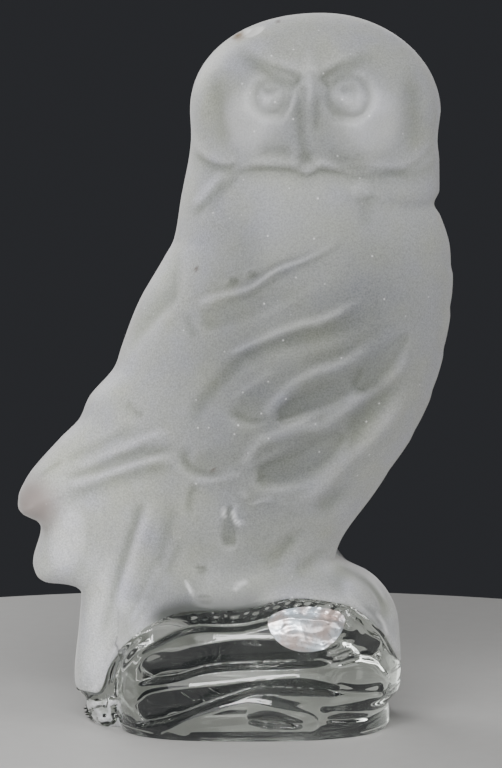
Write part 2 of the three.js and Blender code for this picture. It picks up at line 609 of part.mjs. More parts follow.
// The label lies on the rock: each point is found by looking in at the rock from the front, and
// the foil bridges the small hollows.
function rockFront(x, z) {
  const ray = new THREE.Raycaster(new THREE.Vector3(x, -200, z), new THREE.Vector3(0, 1, 0));
  return ray.intersectObject(owl)[0].point.y;
}
function labelSkin() {
  const rounds = 5;
  const spokes = 24;
  const reach = 1.2;
  const outer = [];
  const inner = [];
  const lay = (x, z) => {
    const spots = [[0, 0], [reach, 0], [-reach, 0], [0, reach], [0, -reach]];
    const y = Math.min(...spots.map(([dx, dz]) => rockFront(x + dx, z + dz))) - FOIL.gap;
    inner.push(new THREE.Vector3(x, y, z));
    outer.push(new THREE.Vector3(x, y - FOIL.thickness, z));
  };
  lay(LABEL.x, LABEL.z);
  for (let round = 1; round <= rounds; round++) {
    for (let spoke = 0; spoke < spokes; spoke++) {
      const angle = (2 * Math.PI * spoke) / spokes;
      const share = round / rounds;
      const lift = share * Math.sin(angle) * (spoke * 2 < spokes ? LABEL.upper : LABEL.lower);
      const lean = LABEL.lean * Math.max(-lift, 0) * Math.cos(angle / 2 - Math.PI / 4);
      lay(LABEL.x + share * LABEL.halfWidth * Math.cos(angle) + lean, LABEL.z + lift);
    }
  }
  const back = outer.length;
  const faces = [];
  const both = (a, b, c) => faces.push(a, b, c, back + a, back + c, back + b);
  for (let spoke = 0; spoke < spokes; spoke++) {
    const next = (spoke + 1) % spokes;
    both(0, 1 + spoke, 1 + next);
    for (let round = 0; round < rounds - 1; round++) {
      const a = 1 + round * spokes + spoke;
      const b = 1 + round * spokes + next;
      both(a, a + spokes, b + spokes);
      both(a, b + spokes, b);
    }
    const a = 1 + (rounds - 1) * spokes + spoke;
    const b = 1 + (rounds - 1) * spokes + next;
    faces.push(a, back + a, back + b, a, back + b, b);
  }
  const geometry = new THREE.BufferGeometry().setFromPoints([...outer, ...inner]);
  geometry.setIndex(faces);
  geometry.computeVertexNormals();
  return geometry;
}
function silverFoil() {
  return new THREE.MeshStandardMaterial({ color: 0xc9c8c6, roughness: 0.35, metalness: 0.8 });
}
const label = new THREE.Mesh(labelSkin(), silverFoil());
label.name = 'foil_sticker';

const group = new THREE.Group();
group.add(owl, label);

export default group;
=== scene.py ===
# %% [markdown]
# # Crystal owl on a rock
# The real piece is one heavy lump of crystal, pressed in a mould. The bird was then frosted with
# acid, and the rock it stands on was left polished and clear. An oval of silver foil is stuck on
# the rock. We build the owl as one closed skin with two finishes, and the foil as a thin piece.
#
# First the measured solid model comes in. It fixes the place and size of everything.

import math

import bpy
import numpy as np
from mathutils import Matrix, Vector, noise
from mathutils.bvhtree import BVHTree


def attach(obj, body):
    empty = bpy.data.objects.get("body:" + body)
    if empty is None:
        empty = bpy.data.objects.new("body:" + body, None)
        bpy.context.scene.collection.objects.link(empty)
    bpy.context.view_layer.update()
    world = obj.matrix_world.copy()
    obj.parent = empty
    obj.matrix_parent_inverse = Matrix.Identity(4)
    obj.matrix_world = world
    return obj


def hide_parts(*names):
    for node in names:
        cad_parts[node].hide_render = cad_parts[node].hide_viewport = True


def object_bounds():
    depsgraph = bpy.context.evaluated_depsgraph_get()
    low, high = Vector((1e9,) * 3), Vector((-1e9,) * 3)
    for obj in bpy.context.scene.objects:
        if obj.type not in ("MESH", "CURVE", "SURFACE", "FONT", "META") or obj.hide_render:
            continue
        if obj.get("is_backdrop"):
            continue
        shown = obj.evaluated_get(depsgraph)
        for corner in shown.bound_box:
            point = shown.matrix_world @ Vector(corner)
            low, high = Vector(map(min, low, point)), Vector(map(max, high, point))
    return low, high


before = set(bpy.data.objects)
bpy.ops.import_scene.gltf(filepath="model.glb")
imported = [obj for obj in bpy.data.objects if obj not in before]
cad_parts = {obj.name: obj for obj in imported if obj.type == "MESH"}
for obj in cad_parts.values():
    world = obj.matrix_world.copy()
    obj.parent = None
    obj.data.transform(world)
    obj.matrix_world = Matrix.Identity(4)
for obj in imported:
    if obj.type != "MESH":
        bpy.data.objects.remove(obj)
solid_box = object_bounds()
MM = 0.001
LOWEST, HIGHEST = [[round(value / MM, 3) for value in corner] for corner in solid_box]
HEIGHT = HIGHEST[2]
print("solid model, mm:", LOWEST, HIGHEST)

# %% [markdown]
# ## Camera
# A long lens, a little above the middle of the owl, looks slightly down. A long lens keeps the
# proportions of a small object calm. The lens is worked out from the distance and from how much
# height has to fit in the picture.

# %% Camera
CAMERA_DISTANCE = 900
CAMERA_RISE = math.radians(5)
AIM = Vector((5.1, 0, 105.9))
VIEW_HEIGHT = 238

camera = bpy.data.objects.new("camera", bpy.data.cameras.new("camera"))
bpy.context.collection.objects.link(camera)
back = Vector((0, -math.cos(CAMERA_RISE), math.sin(CAMERA_RISE)))
camera.location = (AIM + CAMERA_DISTANCE * back) * MM
camera.rotation_euler = (-back).to_track_quat("-Z", "Y").to_euler()
camera.data.sensor_width = 36
camera.data.lens = camera.data.sensor_width * CAMERA_DISTANCE / VIEW_HEIGHT
bpy.context.scene.camera = camera
print("lens, mm:", round(camera.data.lens, 1))

# %% [markdown]
# ## Colours and nodes
# Colours are picked on screen as sRGB hex values, but Blender's shaders want linear light. One
# function turns one into the other. A second one adds a node to a material, sets its values and
# links what feeds it, so that each material below reads as a short recipe.


# %% Colour and node helpers
def linear(hex_colour, alpha=1.0):
    """An sRGB colour such as "#c8c8c8" as Blender's linear red, green, blue and alpha."""
    channels = [int(hex_colour[i : i + 2], 16) / 255 for i in (1, 3, 5)]
    return [c / 12.92 if c <= 0.04045 else ((c + 0.055) / 1.055) ** 2.4 for c in channels] + [alpha]


def new_material(name):
    """An empty node material and its tree."""
    material = bpy.data.materials.new(name)
    material.use_nodes = True
    material.node_tree.nodes.clear()
    return material, material.node_tree


def socket(sockets, name):
    """The socket in use with that name. A mix node has one of each name for every kind of data."""
    return next(s for s in sockets if s.name == name and s.enabled)


def add(tree, kind, feeds, output=None, **settings):
    """Add a node of a kind. settings are its properties, and feeds gives its sockets a value or a
    link. The answer is its output of that name, ready to feed the next node."""
    node = tree.nodes.new("ShaderNode" + kind)
    for name, value in settings.items():
        setattr(node, name, value)
    for name, value in feeds.items():
        if isinstance(value, bpy.types.NodeSocket):
            tree.links.new(value, socket(node.inputs, name))
        else:
            socket(node.inputs, name).default_value = value
    return socket(node.outputs, output) if output else node


print("middle grey in linear light:", round(linear("#808080")[0], 3))

# %% [markdown]
# ## Floor and light
# A pale round table top and four soft lamps make a plain studio. Glass has no look of its own:
# it shows what is around it. The room is left dark, so that the polished rock gets dark bands and
# the frosted bird stands out pale against it. The narrow strip lamp is there for the rock alone:
# the bevelled edges of its ledges mirror it as white lines.

# %% Table top
FLOOR_RADIUS = 260
FLOOR_GAP = 0.1
ROLLER_GRAIN = 6.25


def matt_table_paint():
    """Pale matt paint, with the faint unevenness of a roller."""
    material, tree = new_material("matt_table_paint")
    spot = add(tree, "TexCoord", {}, "Object")
    grain = add(tree, "TexNoise", {"Vector": spot, "Scale": 1 / (ROLLER_GRAIN * MM), "Detail": 4}, "Fac")
    tones = {"Factor": grain, "A": linear("#b4b3b1"), "B": linear("#bcbbb9")}
    colour = add(tree, "Mix", tones, "Result", data_type="RGBA")
    paint = add(tree, "BsdfPrincipled", {"Base Color": colour, "Roughness": 0.55}, "BSDF")
    add(tree, "OutputMaterial", {"Surface": paint})
    return material


bpy.ops.mesh.primitive_circle_add(radius=FLOOR_RADIUS * MM, vertices=128, fill_type="NGON")
floor = bpy.context.object
floor.name = "table_top"
floor.location.z = -FLOOR_GAP * MM
floor.data.materials.append(matt_table_paint())
floor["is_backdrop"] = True
print("table top, mm across:", 2 * FLOOR_RADIUS)


# %% Lamps and room
def softbox(name, place, width, height, power):
    """A soft lamp that looks at the middle of the owl. Places and sizes are in millimetres."""
    lamp = bpy.data.objects.new(name, bpy.data.lights.new(name, "AREA"))
    lamp.data.shape = "RECTANGLE"
    lamp.data.size = width * MM
    lamp.data.size_y = height * MM
    lamp.data.energy = power
    lamp.location = Vector(place) * MM
    lamp.rotation_euler = (AIM - Vector(place)).to_track_quat("-Z", "Y").to_euler()
    bpy.context.collection.objects.link(lamp)


softbox("key_lamp", (-260, -640, 300), 700, 700, 4.3)
softbox("strip_lamp", (-60, -600, 400), 500, 120, 4.4)
softbox("side_lamp", (420, -380, 420), 300, 300, 1.1)
softbox("back_lamp", (-420, 420, 520), 400, 400, 3)

room = bpy.data.worlds.new("dark_room")
room.use_nodes = True
room.node_tree.nodes["Background"].inputs["Color"].default_value = linear("#2d2e31")
bpy.context.scene.world = room

# %% [markdown]
# ## The plain form
# Before a mould is carved, its maker has the plain shape: an outline from the front, and a round
# or flat section at each height. We write it the same way. A rail is a smooth curve through a few
# [height, value] stations. Two rails give the outline, and a table of sections gives the depth.
# Sculpting would get there too, but numbers keep the form the same as the solid model's and easy
# to change. All sizes are in millimetres. The maths runs on whole arrays of points at once, which
# numpy does quickly.


# %% Curves through stations
def ease(t):
    """0 below 0, 1 above 1, and a soft step between them."""
    k = np.clip(t, 0, 1)
    return k * k * (3 - 2 * k)


def rail(stations):
    """A curve through [height, value] stations that never overshoots them (a monotone cubic)."""
    heights, values = np.array(stations, float).T
    rise = np.diff(heights)
    slope = np.diff(values) / rise
    turns = slope[:-1] * slope[1:] <= 0
    safe = np.where(slope == 0, 1, slope)
    before = 2 * rise[1:] + rise[:-1]
    after = rise[1:] + 2 * rise[:-1]
    inner = np.where(turns, 0, (before + after) / (before / safe[:-1] + after / safe[1:]))
    tangent = np.concatenate([slope[:1], inner, slope[-1:]])

    def at(height):
        z = np.clip(height, heights[0], heights[-1])
        i = np.clip(np.searchsorted(heights, z) - 1, 0, len(rise) - 1)
        t = (z - heights[i]) / rise[i]
        s = 1 - t
        start = (1 + 2 * t) * s * s * values[i] + t * s * s * rise[i] * tangent[i]
        end = t * t * (3 - 2 * t) * values[i + 1] - t * t * s * rise[i] * tangent[i + 1]
        return start + end

    return at


print("ease at a quarter, a half and three quarters:", ease(np.array([0.25, 0.5, 0.75])))

# %% Outline
DOME_FROM = 190
CROWN_X = 27

tail_side = rail([
    [0, -43.6], [2, -45.2], [9, -47.2], [11, -49.4], [14.5, -50], [32, -48.4], [41, -47.7],
    [43.3, -50.5], [44.2, -58.5], [46.5, -61.6], [50.5, -62.7], [61.5, -60.2],
    [63.6, -61.6], [65, -65.2], [68, -67.3], [71, -67.1], [76, -65], [89, -54.2], [95.5, -47.9],
    [101.5, -45.3], [112, -36.8], [118, -34.8], [131, -29.8], [145, -21.8], [151, -18.6],
    [163, -16.5], [183, -13.3], [DOME_FROM, -13.6],
])
breast_side = rail([
    [0, 47.4], [2, 48.4], [7, 48.1], [12, 51.3], [15, 51.9], [27, 51.3], [34, 50.7], [39, 48.8],
    [44, 45], [49.5, 36], [52.5, 31.4], [55.5, 32.2], [72.8, 43.7], [94.7, 57.5], [110, 63.2],
    [126, 66.3], [137, 67.2], [148, 66.4], [158, 63.4], [161.8, 61.4], [166, 63], [175, 62.9],
    [181, 62.3], [DOME_FROM, 63.2],
])
# The columns of the skin follow this calmer line, so the wing tips don't shear them.
inner_tail_side = rail([
    [0, -43.6], [12, -48], [43, -48], [62, -57], [70, -60], [89, -52], [112, -36.8], [145, -21.8],
    [163, -16.5], [DOME_FROM, -13.6],
])
print("width at the wing tip and the breast, mm:", float(breast_side(137) - tail_side(68)))

# %% Sections
# One row for each height: where the body starts to swell out of the thin tail, over how long a
# run, where it is thickest, half depth of the body and of the tail, the rounding of the tail
# edge, and how square the section is.
SECTIONS = [
    [0, -35, 34, 4, 30.6, 9, 8, 2.6],
    [3, -36, 34, 4, 31.3, 10, 8, 2.6],
    [8, -36, 34, 4, 32.4, 10.3, 8, 2.6],
    [12, -36, 34, 4, 33.2, 10.5, 8, 2.6],
    [24, -35, 34, 6, 33, 11, 9, 2.6],
    [34, -35, 34, 6, 32.4, 11.5, 9, 2.6],
    [43, -38, 30, 3, 30.2, 12, 10, 2.5],
    [53, -44, 42, -3, 28, 12.5, 11, 2.35],
    [66, -54, 56, 0, 29, 12.5, 12, 2.3],
    [82, -56, 66, 3, 31, 13.5, 14, 2.3],
    [100, -50, 64, 8, 33.4, 15.5, 20, 2.3],
    [118, -38, 52, 14, 34.6, 18, 28, 2.3],
    [135, -30, 44, 19, 34.2, 20, 36, 2.3],
    [150, -22, 34, 23, 31.8, 24, 42, 2.35],
    [162, -18, 30, 23, 29.2, 28, 40, 2.4],
    [171, -16, 30, 23.5, 28, 28, 39, 2.5],
    [180, -14, 30, 24.5, 29.6, 29.6, 38.5, 2.55],
    [DOME_FROM, -14, 30, 24.8, 30.8, 30.8, 38.4, 2.55],
]
swell_from, swell_run, thickest_x, body_depth, tail_depth, edge_rounding, squareness = [
    rail([[row[0], row[column]] for row in SECTIONS]) for column in range(1, 8)
]

# How square the top of the head is. A power of 2 would be a plain ellipse.
TAIL_DOME, BREAST_DOME, DEPTH_DOME = 2.15, 1.95, 2.3


def dome(z, power):
    """Top of the head: 1 up to the cheeks, then falling to 0 at the crown."""
    t = np.clip((z - DOME_FROM) / (HEIGHT - DOME_FROM), 0, 1)
    return (1 - t**power) ** (1 / power)


def domed(side, z, power):
    """A side of the outline, drawn in to the crown over the cheeks."""
    return CROWN_X + (side(z) - CROWN_X) * dome(z, power)


def both_edges(z):
    return domed(tail_side, z, TAIL_DOME), domed(breast_side, z, BREAST_DOME)


print("rows of sections:", len(SECTIONS))


# %% Distance to a line
def nearest_on(line, x, z):
    """Distance to a line of points, the side (1 is left of its run) and how far along, 0 to 1."""
    distance = np.full(x.shape, np.inf)
    side = np.ones(x.shape)
    along = np.zeros(x.shape)
    for i, ((start_x, start_z), (run, lift)) in enumerate(zip(line, np.diff(line, axis=0))):
        t = np.clip(((x - start_x) * run + (z - start_z) * lift) / (run**2 + lift**2), 0, 1)
        off_x = x - start_x - t * run
        off_z = z - start_z - t * lift
        away = np.hypot(off_x, off_z)
        closer = away < distance
        distance = np.where(closer, away, distance)
        side = np.where(closer, np.sign(run * off_z - lift * off_x), side)
        along = np.where(closer, (i + t) / (len(line) - 1), along)
    return distance, side, along


# The tail outline as a line, to round the lobes of the wing tips from below as well.
lobe_heights = np.concatenate([np.arange(0, 42, 4), np.arange(42, 72, 0.75), np.arange(72, 104, 4)])
tail_outline = np.column_stack([tail_side(lobe_heights), lobe_heights])
print("points of the tail outline:", len(tail_outline))

# %% Depth of the plain form
LOBES_TO = 100
LOBES_FADE = 20
ROCK_TO = 26
ROCK_FADE = 16
ROCK_BULGE = 2.4
FILLET = 0.03


def swell_share(t, z):
    """How far the section has swelled out of the tail: the rock bulges at once, like a boulder,
    and the body flows out of the wings."""
    share = np.clip(t, 0, 1)
    filleted = share**2 / (share + FILLET)
    bulge = (1 - (1 - filleted) ** ROCK_BULGE) ** (1 / ROCK_BULGE)
    rock_share = 1 - ease((z - ROCK_TO) / ROCK_FADE)
    return ease(share) + (bulge - ease(share)) * rock_share


def half_depth(x, z):
    """Half depth of the plain form, before any carving."""
    left, right = both_edges(z)
    middle = (left + right) / 2
    rounding = edge_rounding(z)
    swell = swell_share((x - swell_from(z)) / swell_run(z), z)
    depth = (tail_depth(z) + (body_depth(z) - tail_depth(z)) * swell) * dome(z, DEPTH_DOME)
    inside = x - left
    inside = np.where(z > DOME_FROM, inside * rounding / np.maximum(middle - left, 0.001), inside)
    low = z < LOBES_TO
    straight = ease((z[low] - LOBES_TO + LOBES_FADE) / LOBES_FADE)
    nearest = np.minimum(inside[low], nearest_on(tail_outline, x[low], z[low])[0])
    inside[low] = nearest + (inside[low] - nearest) * straight
    near = np.maximum(thickest_x(z), middle)
    from_breast = np.clip((x - near) / np.maximum(right - near, 0.001), 0, 1)
    power = squareness(z)
    for edge in (1 - np.clip(inside / rounding, 0, 1), from_breast):
        depth = depth * np.maximum(1 - edge**power, 0) ** (1 / power)
    return depth


# The higher this is, the fewer columns of the skin follow the wing tips.
EDGE_COLUMNS = 20


def plain_point(turn, z):
    """x and y at a turn and a height. A turn of 0 is the breast side, 0.25 the middle of the
    back, 0.5 the tail side and 0.75 the middle of the front."""
    left, right = both_edges(z)
    calm_left = domed(inner_tail_side, z, TAIL_DOME)
    half = np.where(turn < 0.5, turn * 2, 2 - turn * 2)
    spread = np.cos(np.pi * half)
    calm_x = (calm_left + right) / 2 + (right - calm_left) / 2 * spread
    x = calm_x + (left - calm_left) * ((1 - spread) / 2) ** EDGE_COLUMNS
    return x, half_depth(x, z) * np.where(turn < 0.5, 1, -1)


chest = plain_point(np.array([0.75]), np.array([118.0]))
print("middle of the chest, mm:", [round(float(value[0]), 2) for value in chest])

# %% [markdown]
# ## Carving tools
# The mould maker cuts with a few tools, and so do we. Each tool answers with the height it adds
# at a point: a groove, a ridge, the lip of a feather, a gouge, a ledge, a scoop or a boss. Most
# are drawn through a few points and smoothed, and their ends fade out. Because a stroke
# only adds height, all of them can simply be summed. A painted height image could do this as
# well, but a stroke can be read, moved and deepened by itself.


# %% Strokes along a line
def smooth_line(points, steps=5):
    """A smooth line through a stroke's points (a Catmull-Rom spline)."""
    p = np.array(points, float)
    p = np.vstack([2 * p[0] - p[1], p, 2 * p[-1] - p[-2]])
    t = np.linspace(0, 1, steps, endpoint=False)[:, None]
    bends = [
        b + (c - a) / 2 * t + (a - 2.5 * b + 2 * c - d / 2) * t**2 + (1.5 * (b - c) + (d - a) / 2) * t**3
        for a, b, c, d in zip(p, p[1:], p[2:], p[3:])
    ]
    return np.vstack([*bends, p[-2:-1]])


def bell(distance, width):
    return np.exp(-((distance / width) ** 2))


def along_line(points, reach, profile):
    """A stroke: the profile answers for a distance, a side and a share of the way along."""
    line = smooth_line(points)
    low, high = line.min(axis=0) - reach, line.max(axis=0) + reach

    def stroke(x, z):
        height = np.zeros(x.shape)
        near = (x > low[0]) & (x < high[0]) & (z > low[1]) & (z < high[1])
        height[near] = profile(*nearest_on(line, x[near], z[near]))
        return height

    return stroke


def groove(points, width, depth, ends=(0.25, 0.25)):
    """A soft channel. ends are the shares of its length over which it fades in and out."""

    def profile(distance, side, along):
        return -depth * bell(distance, width) * ease(along / ends[0]) * ease((1 - along) / ends[1])

    return along_line(points, 3 * width, profile)


def ridge(points, width, height, ends=(0.25, 0.25)):
    return groove(points, width, -height, ends)


def height_of(strokes, a, b):
    return sum(stroke(a, b) for stroke in strokes)


trial = ridge([[0, 0], [10, 0]], 2, 1)
print("height across a ridge:", trial(np.full(4, 5.0), np.arange(4.0)).round(2))


# %% Feathers
def lip(points, rise, drop, run, fade, softness=1.1, ends=(0.2, 0.2)):
    """The edge of a feather or a ledge: the ground climbs to the line on its left, then drops."""

    def profile(distance, side, along):
        share = ease((side * distance + softness) / (2 * softness))
        height = rise * bell(distance, run) * share - drop * bell(distance, fade) * (1 - share)
        return height * ease(along / ends[0]) * ease((1 - along) / ends[1])

    return along_line(points, 3 * max(run, fade), profile)


def gouge(points, width, depth, last=0.3):
    """The hollow of a feather, with the outline of a leaf. It is cut deepest where it starts, at
    the tip, and along its right side. last is the share of the depth left at its other end."""

    def profile(distance, side, along):
        half_width = width * np.sin(np.pi * (0.22 + 0.68 * along)) ** 0.6
        share = distance / half_width
        bowl = ease((1 - share) / 0.65) * (0.8 - 0.3 * side * share)
        return -depth * bowl * (1 - (1 - last) * ease(along))

    return along_line(points, width, profile)


trial = gouge([[0, 0], [10, 0]], 4, 1)
print("depth along a gouge:", trial(np.arange(0, 11, 2.5), np.zeros(5)).round(2))

# %% Ledges
# A ledge is bevelled over its edge, which catches the light: millimetres up, and share of its rise.
BEVEL = [0, 0.15, 1.45, 5], [1, 0.95, 0.52, 0]


def ledge(edge, foot, rise, drop, step=2, ends=(4, 4)):
    """A ledge of the rock. The ground climbs to the edge, leans back below it as one smooth face,
    and steps out again at the foot. Both lines run from left to right."""
    edge_line, foot_line = smooth_line(edge), smooth_line(foot)
    first, last = edge_line[0][0], edge_line[-1][0]

    def stroke(x, z):
        top = np.interp(x, *edge_line.T)
        low = np.interp(x, *foot_line.T)
        above = rise * np.interp(z - top, *BEVEL)
        face = rise - (rise + drop) * np.clip((top - z) / np.maximum(top - low, 0.01), 0, 1)
        below = -drop * (1 - ease((low - z) / step))
        height = np.where(z > top, above, np.where(z > low, face, below))
        return height * ease((x - first) / ends[0]) * ease((last - x) / ends[1])

    return stroke


trial = ledge([[0, 6], [20, 6]], [[0, 0], [20, 0]], 1, 2)
print("height up a ledge:", trial(np.full(5, 10.0), np.array([-2.0, 0, 3, 6, 9])).round(2))


# %% Hollows, bosses and eyes
def scoop(x0, z0, half_length, half_width, degrees, depth):
    """A round or oval hollow."""
    cos, sin = math.cos(math.radians(degrees)), math.sin(math.radians(degrees))

    def stroke(x, z):
        u = ((x - x0) * cos + (z - z0) * sin) / half_length
        v = ((z - z0) * cos - (x - x0) * sin) / half_width
        return -depth * ease(1 - u * u - v * v)

    return stroke


def boss(x, z, length, width, degrees, height):
    return scoop(x, z, length, width, degrees, -height)


def eye(x, z, radius, deepest):
    """A flat button in a soft ring, which is cut deeper towards one direction in degrees. Its
    pupil is a crescent over a small boss."""

    def socket_ring(px, pz):
        direction = np.arctan2(pz - z, px - x)
        share = 0.65 + 0.35 * np.cos(direction - math.radians(deepest))
        return -share * bell(np.hypot(px - x, pz - z) - radius, 1.6)

    turn = np.radians([170, 120, 70, 20])
    crescent = np.column_stack([np.cos(turn), np.sin(turn) + 0.15]) * radius * 0.45 + [x, z]
    return [
        socket_ring,
        groove(crescent.tolist(), 1.1, 0.45, (0.3, 0.3)),
        boss(x - 0.15 * radius, z - 0.15 * radius, radius * 0.45, radius * 0.4, 0, 0.35),
    ]


print("strokes of an eye:", len(eye(0, 0, 5, 0)))

# %% [markdown]
# ## The face
# The facial disc is a shallow dish with a thick rim. The brows come down to the beak like a V,
# with a smooth forehead over them, and the eyes are flat buttons. It looks straight out of the
# front, although the body stands sideways. The glass has flowed over everything in the mould, so
# the parts are soft strokes on one skin rather than pieces joined together.

# %% Face strokes
face = [
    # Hollows inside the rim of the facial disc, and the full cheeks between them
    groove([[-2, 203.5], [-4.8, 199.2], [-5.4, 193.3], [-5.1, 187.3], [-3.9, 182.5], [-1.2, 178.3]],
        3, 0.8, (0.4, 0.3)),
    groove([[49, 204.5], [52.7, 199.2], [54.2, 194.7], [54.5, 188.8], [53.7, 181.3], [51.2, 175.8]],
        3.4, 0.7, (0.4, 0.3)),
    boss(4.5, 187, 12, 9, 90, 0.8),
    boss(42, 187, 12, 10, 90, 0.8),
    boss(23, 208, 12, 8, 0, 0.4),
    # Brows, with the forehead standing over them, and the dark line of each down to the beak
    lip([[-0.6, 210.4], [3.3, 208], [7.8, 205.4], [12.2, 203.2], [16.7, 201.2], [20.6, 198.8]],
        0.4, 0.5, 9, 4, 2.4, (0.4, 0.1)),
    groove([[1.2, 208.7], [4.8, 206.1], [9.3, 203.2], [13.7, 201.3], [17.3, 199.8], [20.2, 198]],
        2.4, 0.52, (0.6, 0.15)),
    lip([[25.2, 198.6], [28, 201], [31, 203], [34.6, 205.2], [39.4, 208], [43.5, 210.6]],
        0.4, 0.4, 9, 4, 2.4, (0.1, 0.5)),
    groove([[25.6, 197.6], [28, 200], [31, 201.9], [34.6, 204.2], [39.1, 206.3], [42.1, 208.1]],
        2.3, 0.56, (0.15, 0.6)),
    # Beak, narrow and straight, running up into the forehead
    ridge([[22.8, 211], [22.6, 203.5], [22.3, 196.1], [22.1, 189.6]], 2.3, 0.6, (0.4, 0.3)),
    groove([[20.4, 198], [20.3, 194.9], [19.8, 190.2], [20, 185.8], [20.3, 181.3], [21.2, 177],
        [22, 172.8]], 1.6, 0.46, (0.1, 0.1)),
    groove([[21.2, 178.4], [21.6, 175.6], [22, 172.4]], 2.6, 0.3, (0.3, 0.1)),
    groove([[25.1, 196], [25, 188], [24.6, 182]], 1.5, 0.32, (0.3, 0.3)),
    *eye(10.8, 194.1, 5, 225),
    *eye(34.5, 194.1, 6, 300),
    # Soft hollows either side of the beak, and the crease down the inside of the left cheek
    groove([[5.5, 175.6], [9.6, 177.6], [13.7, 177.6], [18.4, 176.3]], 2.8, 0.5, (0.4, 0.3)),
    groove([[27, 177.4], [33.1, 175], [37.6, 175], [41.5, 176.8]], 2.6, 0.5, (0.3, 0.4)),
    ridge([[18.5, 196.1], [17.3, 192], [15.5, 187.9], [13, 182.8]], 1.3, 0.3),
    # Jaw, which overhangs the neck: soft dark arcs over one pale edge
    lip([[-13.6, 186], [-12.2, 179.5], [-8.1, 175], [-2.1, 173.2], [5, 174], [13.8, 173.9],
        [19, 173.3], [22, 172.2], [25.5, 173.3], [33, 172.8], [40.6, 173], [47, 171.8], [53, 172],
        [58.9, 175], [61.8, 179.4]], 0.4, 0.5, 4, 5, 1.6, (0.1, 0.1)),
    groove([[-12, 177.4], [-7.8, 174.4], [-2.4, 173.3], [2.7, 174.8]], 1, 0.5),
    groove([[41.8, 173.8], [49.1, 171.8], [54.4, 173.8], [58.6, 176.8], [61.6, 180]], 1.3, 0.6),
    ridge([[-2.7, 172], [3.3, 173.4], [7.2, 174.2], [16.7, 173.8], [21.8, 171.8], [26.3, 174.2],
        [34, 171.8], [41.2, 171.8], [48.2, 170.6]], 0.9, 0.4, (0.1, 0.2)),
]
print("face strokes:", len(face))

# %% [markdown]
# ## Wings
# The wing is folded over the side of the body. Each covert is a gouge, deep and round at the tip
# of the feather and running out towards the breast, and the edges between them stand up as pale
# ridges. The long primaries are drawn together to the tip. Each feather could be a piece of its
# own, but here they are relief on one casting. The same strokes cut the far side.

